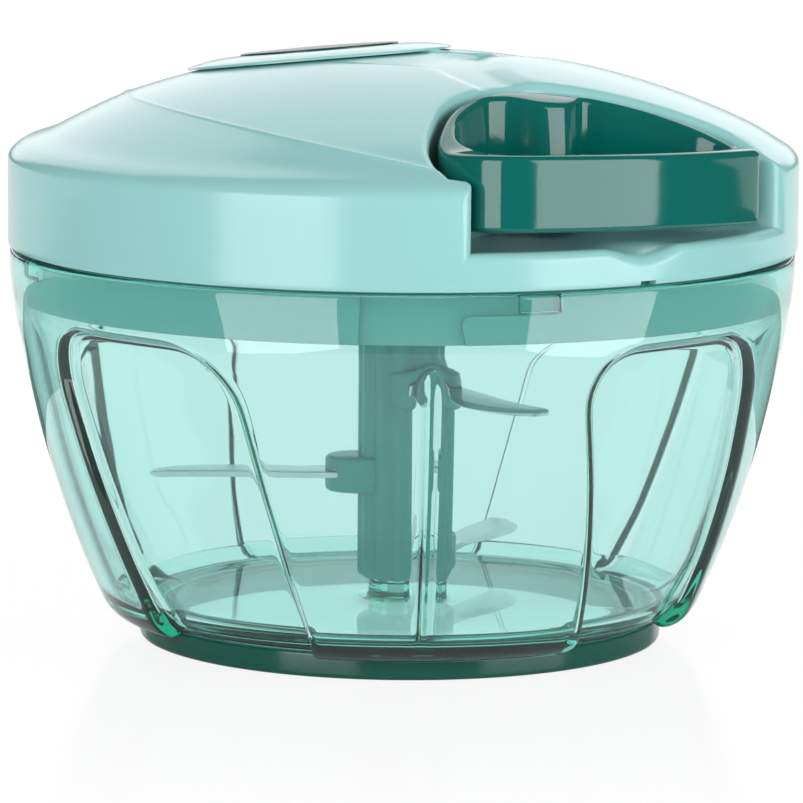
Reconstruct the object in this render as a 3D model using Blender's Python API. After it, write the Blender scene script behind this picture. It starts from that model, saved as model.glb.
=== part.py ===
import math

import bmesh
import bpy
import numpy as np
from mathutils import Matrix, Vector

# Lengths are in millimetres here and are turned into metres when a mesh is made.
MM = 0.001
GAP = 0.3
SNUG = 0.1

# Bowl
RIM_R = 61.75
# Heights of the wall with how far it lies inside the rim's radius.
BOWL_PROFILE = [
    (6.8, 14.35), (10.8, 12.55), (14.7, 10.95), (18.5, 9.55), (22.4, 8.15), (26.2, 6.95), (30.1, 5.75),
    (33.9, 4.75), (37.8, 3.85), (41.6, 2.95), (45.4, 2.25), (49.2, 1.35), (53.0, 0.7), (58.0, 0.0),
    (61.5, 0.0),
]
BOWL_WALL = 2.0
RIM_TOP = 61.5
RIM_WALL = 2.75
RIM_INNER_R = RIM_R - RIM_WALL
BOWL_UNDERSIDE = 4.2
BOWL_FLOOR = 6.4
PANEL_AZ = -39.7
PANEL_HALF = 17.7
PANEL_TOP = 51.9
PANEL_CORNER_R = 9.0
PANEL_STEP = 1.0
PANEL_DEPTH = 1.8
PANEL_FOOT_DEPTH = 3.1
PANEL_TWIST = 0.2
PANEL_MID_Z = 28.0
RIB_AZ = 4.4
RIB_HALF = 0.45
RIB_HEIGHT = 1.2
RIB_TOP = 48.5
LUG_AZ = 20.1
LUG_HALF = 3.1
LUG_LOW = 58.6
LUG_HIGH = 60.9
LUG_DEPTH = 1.6
LUG_INNER_R = RIM_INNER_R - LUG_DEPTH

# Base ring
BASE_INSET = 20.55
BASE_WIDTH = 6.7
BASE_TOP = 3.9
FOOT_INSET = 1.6
FOOT_WALL = 2.0
FOOT_LOW = 1.5
BASE_R = RIM_R - BASE_INSET
BASE_INNER_R = BASE_R - BASE_WIDTH
FOOT_R = BASE_R - FOOT_INSET
FOOT_INNER_R = FOOT_R - FOOT_WALL

# Lid shell
LID_OVERHANG = 0.25
LID_R = RIM_R + LID_OVERHANG
LID_WALL = 1.8
LID_LOW = 62.1
WALL_TOP = 76.2
DOME_EDGE = 77.8
DOME_RISE = 14.5
DOME_INSET = 1.2
DOME_R = LID_R - DOME_INSET
DOME_POWER = 2.2
CREASE_X = 22.0
CREASE_Y = 7.0
CREASE_R = 66.0
CREASE_SLOPE = 0.075
CREASE_DROP = 1.0
CREASE_FADE = 4.8
POCKET_FLOOR = 67.8
POCKET_UNDER = 65.4
POCKET_OUTLINE = [
    (9.8, -61.3), (8.2, -59.9), (6.3, -57.6), (4.5, -54.8), (3.7, -51.2), (3.8, -47.6), (4.2, -44.4),
    (5.5, -37.9), (7.5, -33.5), (10.8, -29.2), (13.8, -25.6), (18.7, -23.2), (24.0, -21.7), (29.6, -20.5),
    (37.5, -19.3), (45.6, -18.4), (50.0, -18.8), (54.0, -20.4), (57.5, -23.3), (75.0, -42.0), (55.0, -78.0),
    (12.0, -78.0),
]
DIP_AZ = 36.3
DIP_R = 11.4
DIP_LOW = 66.0
DIP_SLOPE = 0.36
NOTCH_AZ = 36.3
NOTCH_HALF = 1.35
NOTCH_HIGH = 62.8

# Round badge on the dome
BADGE_X = -13.5
BADGE_Y = 11.0
BADGE_R = 20.8
BADGE_EDGE = 1.0
BADGE_CROWN = 0.15
INLAY_R = 12.5
INLAY_EDGE = 0.5
INLAY_CROWN = 0.75

# Inner plate of the lid
PLATE_LOW = 63.7
PLATE_HIGH = 65.0
PLATE_FIT = 0.3
SKIRT_FIT = 0.5
SKIRT_WALL = 2.2
SKIRT_LOW = 54.0
GROOVE_DEPTH = 1.5
SEAL_FIT = 0.2
PLATE_R = LID_R - LID_WALL - PLATE_FIT
SKIRT_R = RIM_INNER_R - SKIRT_FIT
SKIRT_INNER_R = SKIRT_R - SKIRT_WALL
GROOVE_R = SKIRT_R - GROOVE_DEPTH
GROOVE_LOW = 58.3
GROOVE_HIGH = 61.4
GROOVE_START = -6.0
GROOVE_ENTRY_END = 8.3
GROOVE_END = 23.5
COLLAR_R = 9.5
COLLAR_LOW = 57.0
COLLAR_HIGH = 67.9
SCREW_INSET = 7.3
SCREWS = [(SKIRT_INNER_R - SCREW_INSET, az) for az in (-25.0, -100.0, 175.0, 100.0)]
SCREW_R = 1.4
SCREW_HEAD_R = 2.8
SCREW_HEAD = 1.8
SCREW_LENGTH = 10.0
BOSS_R = 3.3

# Reel, spring and clutch
AXLE_R = 1.5
AXLE_LOW = 60.5
AXLE_HIGH = 90.2
DRUM_R = 14.0
DRUM_LOW = 72.2
DRUM_HIGH = 79.4
FLANGE_R = 19.0
FLANGE = 1.4
REEL_LOW = 68.4
CUP_HIGH = 86.8
CUP_WALL = 1.5
WINDING_R = 17.0
TOOTH_COUNT = 12
TOOTH_ROOT_R = 12.2
TOOTH_TIP_R = 10.6
TOOTH_PHASE = 16.5
TOOTH_HIGH = 71.8
SPRING_TURNS = 4.0
SPRING_THICK = 0.6
SPRING_START_R = 3.4
COVER_PLATE_LOW = 87.1
COVER_PLATE_HIGH = 87.9
HUB_R = 9.0
HUB_LOW = 68.6
HUB_HIGH = 70.0
STEM_R = 5.0
STEM_LOW = 53.0
DOG_LOW = 46.5
DOG_REACH = 4.6
DOG_HALF = 1.6
PAWL_LOW = 70.2
PAWL_HIGH = 71.5
PAWL_PIN_R = 0.9
PAWL_PIVOT_R = 6.5
PAWL_AZ = [0.0, 180.0]
BUSH_WALL = 1.2

# Handle and cord
PULL_AZ = 38.0
HANDLE_CENTRE = (28.0, -40.0)
HANDLE_LOW = 70.9
HANDLE_LOW_SLOPE = -0.053
HANDLE_HIGH = 82.3
HANDLE_HIGH_SLOPE = -0.058
HANDLE_FRONT_Y = -61.0
HANDLE_UNDER_DOME = 0.4
HANDLE_OUTER = [
    (9.9, -60.6), (7.8, -57.6), (5.9, -54.4), (5.0, -50.8), (5.0, -48.0), (5.3, -45.0), (6.6, -38.4),
    (8.6, -34.0), (11.7, -30.0), (14.9, -26.6), (19.3, -24.3), (24.5, -22.9), (29.8, -21.7), (37.5, -20.6),
    (43.0, -20.0), (46.3, -20.3), (49.0, -22.0), (51.6, -25.0), (54.3, -28.9), (54.6, -29.4),
]
HANDLE_INNER = [
    (11.2, -50.2), (9.4, -49.0), (8.2, -47.2), (7.9, -45.0), (8.5, -40.3), (10.0, -36.4), (12.0, -32.3),
    (13.6, -30.8), (16.7, -29.8), (19.4, -30.4), (21.4, -30.7), (24.0, -29.8), (25.9, -28.0), (26.6, -24.1),
    (27.9, -22.9), (32.9, -22.6), (39.0, -22.5), (45.1, -23.0), (48.2, -24.6), (50.0, -26.9),
]
HANDLE_BAR = 4.5
CORD_R = 1.0
CORD_Z = 76.0
CORD_HOLE_R = 1.3
CORD_BACK = (17.7, -25.05)
CORD_BEND = -5.6
GUIDE_INNER = -4.0
GUIDE_OUTER = -0.6
KNOT_R = 1.9
KNOT_AT = 5.0
GUIDE_R = 2.6

# Blade shaft and blades
PIN_R = 2.0
PIN_LOW = 5.6
PIN_HIGH = 24.2
PIN_BOSS_R = 5.0
PIN_BOSS_HIGH = 9.0
SHAFT_R = 6.8
SHAFT_FLUTE = 0.7
SHAFT_FLUTES = 12
SHAFT_LOW = 9.3
SHAFT_HIGH = 56.0
SHAFT_BORE_R = 3.8
SHAFT_BORE_HIGH = 24.8
SOCKET_R = 5.3
SOCKET_LOW = 45.5
SOCKET_RIB_R = 2.8
SOCKET_RIB_HALF = 1.2
BLADES = [(12.4, 155.0, 40.0), (26.0, 275.0, 40.0), (40.0, 35.0, 38.0)]
BLADE_THICK = 1.0
BLADE_ROOT_R = 6.5
BLADE_ROOT_HALF = 3.5
LOBE_R = 12.0
LOBE_HALF = 4.8
LOBE_THICK = 5.6


def material(name, colour, roughness, metallic=0.0, transmission=0.0):
    made = bpy.data.materials.new(name)
    made.use_nodes = True
    shader = made.node_tree.nodes["Principled BSDF"]
    shader.inputs["Base Color"].default_value = (*colour, 1.0)
    shader.inputs["Roughness"].default_value = roughness
    shader.inputs["Metallic"].default_value = metallic
    shader.inputs["Transmission Weight"].default_value = transmission
    made.diffuse_color = (*colour, 0.35 if transmission else 1.0)
    return made


def add(name, shape, finish=None):
    bmesh.ops.recalc_face_normals(shape, faces=shape.faces)
    mesh = bpy.data.meshes.new(name)
    shape.to_mesh(mesh)
    shape.free()
    made = bpy.data.objects.new(name, mesh)
    bpy.context.scene.collection.objects.link(made)
    if finish:
        made.data.materials.append(finish)
    return made


def body(name, points, faces, finish=None):
    shape = bmesh.new()
    corners = [shape.verts.new([float(value) * MM for value in point]) for point in points]
    for face in faces:
        shape.faces.new([corners[index] for index in face])
    return add(name, shape, finish)


def polar(radius, azimuth, z):
    # Azimuth 0 is the front, -Y, and grows towards +X.
    angle = math.radians(azimuth)
    return (radius * math.sin(angle), -radius * math.cos(angle), z)


def grid_faces(rows, columns):
    faces = []
    for row in range(rows - 1):
        for column in range(columns):
            after = (column + 1) % columns
            low = row * columns
            faces.append((low + column, low + after, low + columns + after, low + columns + column))
    return faces


def turned(name, profile, steps, finish=None):
    # The profile is a closed outline of (radius, z), turned round the z axis.
    shape = bmesh.new()
    corners = [shape.verts.new((radius * MM, 0.0, z * MM)) for radius, z in profile]
    edges = [shape.edges.new((corners[i - 1], corners[i])) for i in range(len(corners))]
    bmesh.ops.spin(shape, geom=corners + edges, cent=(0, 0, 0), axis=(0, 0, 1), angle=2.0 * math.pi, steps=steps,
                   use_merge=True)
    return add(name, shape, finish)


def rod(name, radius, low, high, steps, finish=None, edge=0.0, spot=(0.0, 0.0)):
    shape = bmesh.new()
    place = Matrix.Translation((spot[0] * MM, spot[1] * MM, (low + high) / 2 * MM))
    bmesh.ops.create_cone(shape, cap_ends=True, segments=steps, radius1=radius * MM, radius2=radius * MM,
                          depth=(high - low) * MM, matrix=place)
    if edge:
        rims = [e for e in shape.edges if abs(e.verts[0].co.z - e.verts[1].co.z) < 1e-6]
        bmesh.ops.bevel(shape, geom=rims, offset=edge * MM, segments=1, affect="EDGES")
    return add(name, shape, finish)


def extruded(name, outline, low, high, finish=None):
    shape = bmesh.new()
    face = shape.faces.new([shape.verts.new((x * MM, y * MM, low * MM)) for x, y in outline])
    made = bmesh.ops.extrude_face_region(shape, geom=[face])
    moved = [item for item in made["geom"] if isinstance(item, bmesh.types.BMVert)]
    bmesh.ops.translate(shape, verts=moved, vec=(0, 0, (high - low) * MM))
    return add(name, shape, finish)


def arc_block(name, inner, outer, low, high, start, end, steps):
    angles = np.linspace(start, end, steps + 1)
    outline = [polar(inner, a, 0)[:2] for a in angles] + [polar(outer, a, 0)[:2] for a in angles[::-1]]
    return extruded(name, outline, low, high)


def lay_along(obj, origin, direction):
    obj.location = Vector(origin) * MM
    obj.rotation_euler = Vector(direction).to_track_quat("Z", "Y").to_euler()


def combine(target, tool, operation):
    modifier = target.modifiers.new("Join", "BOOLEAN")
    modifier.operation = operation
    modifier.solver = "EXACT"
    modifier.object = tool
    bpy.context.view_layer.update()
    graph = bpy.context.evaluated_depsgraph_get()
    mesh = bpy.data.meshes.new_from_object(target.evaluated_get(graph))
    target.modifiers.clear()
    target.data = mesh
    bpy.data.objects.remove(tool, do_unlink=True)


def smooth(obj, angle=32.0):
    obj.data.shade_smooth()
    obj.data.set_sharp_from_angle(angle=math.radians(angle))


def dome_z(x, y):
    radius = math.hypot(x, y)
    outside = max(0.0, math.hypot(x - CREASE_X, y - CREASE_Y) - CREASE_R)
    fade = min(1.0, max(0.0, DOME_R - radius) / CREASE_FADE)
    fall = min(CREASE_DROP, CREASE_SLOPE * outside) * fade
    return DOME_EDGE + DOME_RISE * (1.0 - (radius / DOME_R) ** DOME_POWER) - fall


def bowl_radius(z):
    heights, insets = zip(*BOWL_PROFILE)
    return RIM_R - float(np.interp(z, heights, insets))


def panel_depth(z):
    return float(np.interp(z, (6.8, 16.0), (PANEL_FOOT_DEPTH, PANEL_DEPTH)))


def offset_outline(outline, distance):
    area = 0.0
    count = len(outline)
    for i, (x, y) in enumerate(outline):
        nx, ny = outline[(i + 1) % count]
        area += x * ny - nx * y
    sign = 1.0 if area > 0 else -1.0
    moved = []
    for i in range(count):
        before = np.array(outline[i - 1])
        here = np.array(outline[i])
        after = np.array(outline[(i + 1) % count])
        first = (here - before) / np.linalg.norm(here - before)
        second = (after - here) / np.linalg.norm(after - here)
        normal = np.array((first[1] + second[1], -first[0] - second[0])) * sign
        normal /= np.linalg.norm(normal)
        across = max(0.5, normal.dot(np.array((first[1], -first[0])) * sign))
        moved.append(tuple(here + normal * distance / across))
    return moved


def ray_distance(outline, centre, angle):
    direction = np.array((math.cos(angle), math.sin(angle)))
    best = 0.0
    for i in range(len(outline)):
        start = np.array(outline[i]) - centre
        edge = np.array(outline[(i + 1) % len(outline)]) - np.array(outline[i])
        matrix = np.array(((direction[0], -edge[0]), (direction[1], -edge[1])))
        if abs(np.linalg.det(matrix)) < 1e-9:
            continue
        along, share = np.linalg.solve(matrix, start)
        if along > 0 and -1e-9 <= share <= 1.0 + 1e-9:
            best = max(best, along)
    return best


# Shares of the way across a panel, up the wall, and from a rib to a panel's edge.
PANEL_SHARES = (-1.0, -0.86, -0.6, -0.2, 0.2, 0.6, 0.86, 1.0)
WALL_SHARES = (0.0, 0.2, 0.42, 0.64, 0.84, 0.93, 1.0)
SIDE_SHARES = (0.25, 0.5, 0.75)


def arch_grid(grow):
    # Blends the four edges of one arch, whose two upper corners are rounded.
    low = BOWL_PROFILE[0][0]
    degrees = math.degrees(1.0 / 58.5)
    half = PANEL_HALF + grow * degrees
    top = PANEL_TOP + grow
    corner = PANEL_CORNER_R + grow
    cut = corner * (1.0 - math.sqrt(0.5))

    def top_edge(share):
        reach = (half - cut * degrees) * share
        inset = (half - abs(reach)) / degrees
        fall = 0.0
        if inset < corner:
            fall = corner - math.sqrt(max(0.0, corner ** 2 - (corner - inset) ** 2))
        return np.array((reach, top - 0.5 * (reach / half) ** 2 - fall))

    def side_edge(share, side):
        end = top_edge(1.0)[1]
        z = low + (end - low) * share
        inset = 0.0
        above = z - (end + cut - corner)
        if above > 0:
            inset = corner - math.sqrt(max(0.0, corner ** 2 - above ** 2))
        return np.array((side * (half - inset * degrees), z))

    rows = []
    for up in WALL_SHARES:
        row = []
        for across in PANEL_SHARES:
            left = side_edge(up, -1.0)
            right = side_edge(up, 1.0)
            share = (across + 1.0) / 2.0
            bottom = np.array((half * across, low))
            upper = top_edge(across)
            blend = (1 - share) * left + share * right + (1 - up) * bottom + up * upper
            corners = (
                (1 - up) * ((1 - share) * side_edge(0.0, -1.0) + share * side_edge(0.0, 1.0))
                + up * ((1 - share) * top_edge(-1.0) + share * top_edge(1.0))
            )
            row.append(blend - corners)
        rows.append(row)
    return rows


def twisted(point):
    return point[0] + PANEL_TWIST * (PANEL_MID_Z - point[1]), point[1]


def quarter_rows():
    # Each row runs from one rib to the next as (azimuth, z, panel flag, rib flag).
    inner = arch_grid(0.0)
    outer = arch_grid(PANEL_STEP)
    left_rib = RIB_AZ - 90.0 - PANEL_AZ
    right_rib = RIB_AZ - PANEL_AZ
    low = BOWL_PROFILE[0][0]

    def side(start, end, level, edge_z, rising):
        row = []
        for share in SIDE_SHARES:
            height = level + (edge_z - level) * (share if rising else 1.0 - share)
            row.append((start + (end - start) * share, height, 0, 0))
        return row

    def whole_row(level, left, panel, right):
        row = [(left_rib, level, 0, 1), (left_rib + RIB_HALF, level, 0, 0)]
        row += side(left_rib + RIB_HALF, left[0], level, left[1], True)
        row += [(*left, 0, 0)] + panel + [(*right, 0, 0)]
        row += side(right[0], right_rib - RIB_HALF, level, right[1], False)
        row.append((right_rib - RIB_HALF, level, 0, 0))
        return row

    rows = []
    for i, up in enumerate(WALL_SHARES):
        level = low + (PANEL_TOP - 0.4 - low) * up
        panel = [(*twisted(point), 1, 0) for point in inner[i]]
        rows.append(whole_row(level, twisted(outer[i][0]), panel, twisted(outer[i][-1])))
    crest = [twisted(point) for point in outer[-1]]
    left = (crest[0][0] - 0.35, crest[0][1] + 0.7)
    right = (crest[-1][0] + 0.35, crest[-1][1] + 0.7)
    rows.append(whole_row(PANEL_TOP + PANEL_STEP - 0.4, left, [(*point, 0, 0) for point in crest], right))
    return rows


def bowl(finish):
    quarter = quarter_rows()
    columns = 4 * len(quarter[0])
    count = len(quarter[0])
    even = np.linspace(RIB_AZ - 90.0 - PANEL_AZ, RIB_AZ - PANEL_AZ, count, endpoint=False)

    def ring(row_index, radius_of, height_of, ease=0.0):
        points = []
        for k in range(4):
            for column, (azimuth, z, panel, rib) in enumerate(quarter[row_index]):
                spot = azimuth + (even[column] - azimuth) * ease
                height = height_of(z, panel)
                radius = radius_of(height, panel, rib, column)
                points.append(polar(radius, PANEL_AZ + 90.0 * k + spot, height))
        return points

    foot_plain = [(0.4, BOWL_UNDERSIDE), (0.8, 3.3), (2.3, 3.2), (4.1, 4.0), (5.4, 5.2)]
    foot_panel = [(0.4, BOWL_UNDERSIDE), (0.8, 4.6), (1.3, 5.2), (1.9, 5.6), (2.6, 6.1)]
    rings = []
    for plain, panelled in zip(foot_plain, foot_panel):
        rings.append(ring(
            0,
            lambda z, panel, rib, column, a=plain, b=panelled: BASE_R + (b[0] if panel else a[0]),
            lambda z, panel, a=plain, b=panelled: b[1] if panel else a[1],
        ))
    for i in range(len(quarter)):
        rings.append(ring(
            i,
            lambda z, panel, rib, column: bowl_radius(z) - panel * panel_depth(z),
            lambda z, panel: z,
        ))
    top = len(quarter) - 1
    for z, radius, ease in (
        (56.0, bowl_radius(56.0), 0.6), (58.5, RIM_R, 1.0), (RIM_TOP - 0.4, RIM_R, 1.0), (RIM_TOP, RIM_R - 0.4, 1.0),
        (RIM_TOP, RIM_INNER_R + 0.4, 1.0), (RIM_TOP - 0.4, RIM_INNER_R, 1.0), (56.0, RIM_INNER_R, 0.6),
    ):
        rings.append(ring(top, lambda h, panel, rib, column, r=radius: r, lambda h, panel, z=z: z, ease))

    def inner_radius(z, panel, rib, column):
        wall = min(RIM_INNER_R, bowl_radius(z) - BOWL_WALL) - panel * panel_depth(z)
        return wall - (RIB_HEIGHT if rib and z < RIB_TOP else 0.0)

    for i in range(top, 0, -1):
        rings.append(ring(i, inner_radius, lambda z, panel: z))
    heel_plain = [(16.45, 8.8), (17.85, 7.3), (20.15, 6.5), (22.75, BOWL_FLOOR)]
    heel_panel = [(19.55, 9.0), (20.75, 7.6), (22.35, 6.6), (24.15, BOWL_FLOOR)]
    for plain, panelled in zip(heel_plain, heel_panel):
        rings.append(ring(
            0,
            lambda z, panel, rib, column, a=plain, b=panelled: RIM_R - (b[0] if panel else a[0]) - 0.8 * rib,
            lambda z, panel, a=plain, b=panelled: b[1] if panel else a[1],
        ))
    points = [point for one in rings for point in one]
    faces = grid_faces(len(rings), columns)
    faces.append(tuple(range(columns))[::-1])
    faces.append(tuple((len(rings) - 1) * columns + i for i in range(columns)))
    made = body("bowl", points, faces, finish)
    foot = turned("foot", [
        (FOOT_INNER_R, FOOT_LOW), (FOOT_R, FOOT_LOW), (FOOT_R, BOWL_UNDERSIDE + 0.9),
        (FOOT_INNER_R, BOWL_UNDERSIDE + 0.9),
    ], 48)
    combine(made, foot, "UNION")
    combine(made, rod("boss", PIN_BOSS_R, BOWL_FLOOR - 0.9, PIN_BOSS_HIGH, 24), "UNION")
    combine(made, rod("hole", PIN_R + SNUG, PIN_LOW - SNUG, PIN_BOSS_HIGH + 2.0, 32), "DIFFERENCE")
    for k in range(4):
        az = LUG_AZ + 90.0 * k
        lug = arc_block("lug", LUG_INNER_R, RIM_INNER_R + 0.8, LUG_LOW, LUG_HIGH, az - LUG_HALF, az + LUG_HALF, 3)
        combine(made, lug, "UNION")
    return made


def dome_body(name, radius, low, rows, offset, steps, finish=None):
    points = []
    for row_radius, z in rows:
        for step in range(steps):
            x, y, _ = polar(row_radius, 360.0 * step / steps, 0)
            height = dome_z(x, y) - offset if z is None else z
            points.append((x, y, height))
    centre = len(points)
    points.append((0.0, 0.0, dome_z(0.0, 0.0) - offset))
    faces = grid_faces(len(rows), steps)
    last = (len(rows) - 1) * steps
    for step in range(steps):
        faces.append((last + step, last + (step + 1) % steps, centre))
    faces.append(tuple(range(steps))[::-1])
    return body(name, points, faces, finish)


def pull_direction():
    return np.array(polar(1.0, PULL_AZ, 0.0))


def cord_point(along):
    return np.array((CORD_BACK[0], CORD_BACK[1], CORD_Z)) + pull_direction() * along


def lid_cover(finish):
    shell = dome_body("lid_cover", LID_R, LID_LOW, [
        (LID_R - 0.3, LID_LOW), (LID_R, LID_LOW + 0.3), (LID_R, WALL_TOP), (LID_R - 0.2, WALL_TOP + 0.8),
        (LID_R - 0.8, WALL_TOP + 1.5), (LID_R - 1.8, None), (LID_R - 4.5, None), (LID_R - 8.0, None),
        (LID_R - 13.0, None), (LID_R - 19.0, None), (LID_R - 26.0, None), (LID_R - 36.0, None), (LID_R - 48.0, None),
    ], 0.0, 72, finish)
    inside = LID_R - LID_WALL
    cavity = dome_body("cavity", inside, LID_LOW - 2.0, [
        (inside, LID_LOW - 2.0), (inside, WALL_TOP - 1.2), (inside - 1.2, WALL_TOP + 0.2), (inside - 3.7, None),
        (inside - 12.2, None), (inside - 26.2, None), (inside - 44.2, None),
    ], LID_WALL, 72)
    thick = extruded("thick", offset_outline(POCKET_OUTLINE, LID_WALL), POCKET_UNDER, 110.0)
    combine(cavity, thick, "DIFFERENCE")
    for radius, az in SCREWS:
        spot = polar(radius, az, 0)[:2]
        post = rod("post", BOSS_R, PLATE_HIGH + SNUG, 110.0, 20, spot=spot)
        combine(cavity, post, "DIFFERENCE")
    combine(cavity, rod("stub", 4.0, COVER_PLATE_HIGH + SNUG, 110.0, 24), "DIFFERENCE")
    combine(shell, cavity, "DIFFERENCE")
    combine(shell, extruded("pocket", POCKET_OUTLINE, POCKET_FLOOR, 110.0), "DIFFERENCE")
    dip = rod("dip", DIP_R, 55.0, 75.0, 48)
    slope = math.atan(DIP_SLOPE)
    forward = np.array(polar(math.cos(slope), DIP_AZ, -math.sin(slope)))
    up = np.array(polar(math.sin(slope), DIP_AZ, math.cos(slope)))
    start = np.array(polar(LID_R, DIP_AZ, DIP_LOW)) + up * DIP_R - forward * 65.0
    lay_along(dip, start, forward)
    combine(shell, dip, "DIFFERENCE")
    notch = arc_block(
        "notch", inside - 1.0, LID_R + 1.0, LID_LOW - 1.0, NOTCH_HIGH, NOTCH_AZ - NOTCH_HALF,
        NOTCH_AZ + NOTCH_HALF, 2,
    )
    combine(shell, notch, "DIFFERENCE")
    for radius, az in SCREWS:
        spot = polar(radius, az, 0)[:2]
        hole = rod("hole", SCREW_R + SNUG, PLATE_HIGH - 1.0, PLATE_LOW + SCREW_LENGTH + GAP, 20, spot=spot)
        combine(shell, hole, "DIFFERENCE")
    combine(shell, rod("hole", AXLE_R + SNUG, 80.0, AXLE_HIGH + SNUG, 24), "DIFFERENCE")
    eye = rod("eye", GUIDE_R + SNUG, -6.0, 2.0, 24)
    lay_along(eye, cord_point(0.0), pull_direction())
    combine(shell, eye, "DIFFERENCE")
    return shell


def badge_plane(x, y):
    # The plane that touches the dome at the badge's centre.
    slope_x = (dome_z(BADGE_X + 1, BADGE_Y) - dome_z(BADGE_X - 1, BADGE_Y)) / 2.0
    slope_y = (dome_z(BADGE_X, BADGE_Y + 1) - dome_z(BADGE_X, BADGE_Y - 1)) / 2.0
    return dome_z(BADGE_X, BADGE_Y) + slope_x * (x - BADGE_X) + slope_y * (y - BADGE_Y)


def badge_rows(radii_heights, steps):
    points = []
    for radius, height in radii_heights:
        for step in range(steps):
            angle = 2.0 * math.pi * step / steps
            x = BADGE_X + radius * math.cos(angle)
            y = BADGE_Y + radius * math.sin(angle)
            points.append((x, y, height(x, y)))
    return points


def badge_disc(finish):
    steps = 40
    hole = INLAY_R + GAP
    shoulder = BADGE_R - 0.45
    rows = [(hole + (BADGE_R - hole) * share, lambda x, y: dome_z(x, y) + GAP) for share in (0.0, 0.35, 0.7, 1.0)]
    rows.append((BADGE_R, lambda x, y: dome_z(x, y) + BADGE_EDGE - 0.4))
    for share in (0.0, 0.35, 0.7, 1.0):
        rows.append((
            shoulder + (hole - shoulder) * share,
            lambda x, y, s=share: (1.0 - s) * (dome_z(x, y) + BADGE_EDGE) + s * (badge_plane(x, y) + BADGE_CROWN),
        ))
    points = badge_rows(rows, steps)
    faces = grid_faces(len(rows), steps)
    last = (len(rows) - 1) * steps
    for step in range(steps):
        after = (step + 1) % steps
        faces.append((last + step, last + after, after, step))
    return body("badge_disc", points, faces, finish)


def badge_inlay(finish):
    steps = 40
    rows = [(INLAY_R * share, lambda x, y: dome_z(x, y) + GAP) for share in (0.33, 0.67, 1.0)]
    rows.append((INLAY_R, lambda x, y: badge_plane(x, y) + INLAY_EDGE - 0.2))
    for share in (0.98, 0.66, 0.33):
        crown = INLAY_CROWN - (INLAY_CROWN - INLAY_EDGE) * share ** 2
        rows.append((INLAY_R * share, lambda x, y, h=crown: badge_plane(x, y) + h))
    points = badge_rows(rows, steps)
    base = len(points)
    centre = dome_z(BADGE_X, BADGE_Y)
    points += [(BADGE_X, BADGE_Y, centre + GAP), (BADGE_X, BADGE_Y, centre + INLAY_CROWN)]
    faces = grid_faces(len(rows), steps)
    last = (len(rows) - 1) * steps
    for step in range(steps):
        after = (step + 1) % steps
        faces.append((after, step, base))
        faces.append((last + step, last + after, base + 1))
    return body("badge_inlay", points, faces, finish)


def lid_base(finish):
    bore = STEM_R + GAP + BUSH_WALL + SNUG
    made = turned("lid_base", [
        (bore, COLLAR_LOW), (COLLAR_R, COLLAR_LOW), (COLLAR_R, PLATE_LOW), (SKIRT_INNER_R, PLATE_LOW),
        (SKIRT_INNER_R, SKIRT_LOW), (SKIRT_R - 0.4, SKIRT_LOW), (SKIRT_R, SKIRT_LOW + 0.4), (SKIRT_R, PLATE_LOW),
        (PLATE_R, PLATE_LOW), (PLATE_R, PLATE_HIGH), (COLLAR_R, PLATE_HIGH), (COLLAR_R, COLLAR_HIGH),
        (bore, COLLAR_HIGH),
    ], 48, finish)
    for k in range(4):
        turn = 90.0 * k
        entry = arc_block(
            "entry", GROOVE_R, SKIRT_R + 1.0, SKIRT_LOW - 1.0, GROOVE_HIGH, GROOVE_START + turn,
            GROOVE_ENTRY_END + turn, 4,
        )
        combine(made, entry, "DIFFERENCE")
        run = arc_block(
            "run", GROOVE_R, SKIRT_R + 1.0, GROOVE_LOW, GROOVE_HIGH, GROOVE_ENTRY_END - 1.0 + turn,
            GROOVE_END + turn, 5,
        )
        combine(made, run, "DIFFERENCE")
    for radius, az in SCREWS:
        spot = polar(radius, az, 0)[:2]
        hole = rod("hole", SCREW_R + GAP, PLATE_LOW - 1.0, PLATE_HIGH + 1.0, 20, spot=spot)
        combine(made, hole, "DIFFERENCE")
    return made


def screw(number, radius, az, finish):
    head_high = PLATE_LOW - SNUG
    head_low = head_high - SCREW_HEAD
    made = rod(f"lid_screw_{number}", SCREW_HEAD_R, head_low, head_high, 16, finish)
    combine(made, rod("shank", SCREW_R, head_high - 0.5, PLATE_LOW + SCREW_LENGTH, 12), "UNION")
    drive = extruded("drive", [(-1.6, -0.35), (1.6, -0.35), (1.6, 0.35), (-1.6, 0.35)], head_low - 1.0, head_low + 0.9)
    combine(made, drive, "DIFFERENCE")
    made.location = Vector(polar(radius, az, 0.0)) * MM
    return made


def reel(finish):
    bore = AXLE_R + GAP
    made = turned("reel", [
        (bore, REEL_LOW), (DRUM_R, REEL_LOW),
        (DRUM_R, DRUM_LOW - FLANGE), (FLANGE_R, DRUM_LOW - FLANGE), (FLANGE_R, DRUM_LOW), (DRUM_R, DRUM_LOW),
        (DRUM_R, DRUM_HIGH), (FLANGE_R, DRUM_HIGH), (FLANGE_R, CUP_HIGH), (FLANGE_R - CUP_WALL, CUP_HIGH),
        (FLANGE_R - CUP_WALL, DRUM_HIGH + FLANGE), (bore, DRUM_HIGH + FLANGE),
    ], 24, finish)
    outline = []
    for tooth in range(TOOTH_COUNT):
        start = TOOTH_PHASE + tooth * 360.0 / TOOTH_COUNT
        for az, radius in ((0.0, TOOTH_ROOT_R), (14.0, (TOOTH_ROOT_R + TOOTH_TIP_R) / 2 + 0.1),
                           (28.5, TOOTH_TIP_R - 0.2)):
            angle = math.radians(start + az)
            outline.append((radius * math.cos(angle), radius * math.sin(angle)))
    combine(made, extruded("teeth", outline, REEL_LOW - 1.0, TOOTH_HIGH), "DIFFERENCE")
    return made


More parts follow.
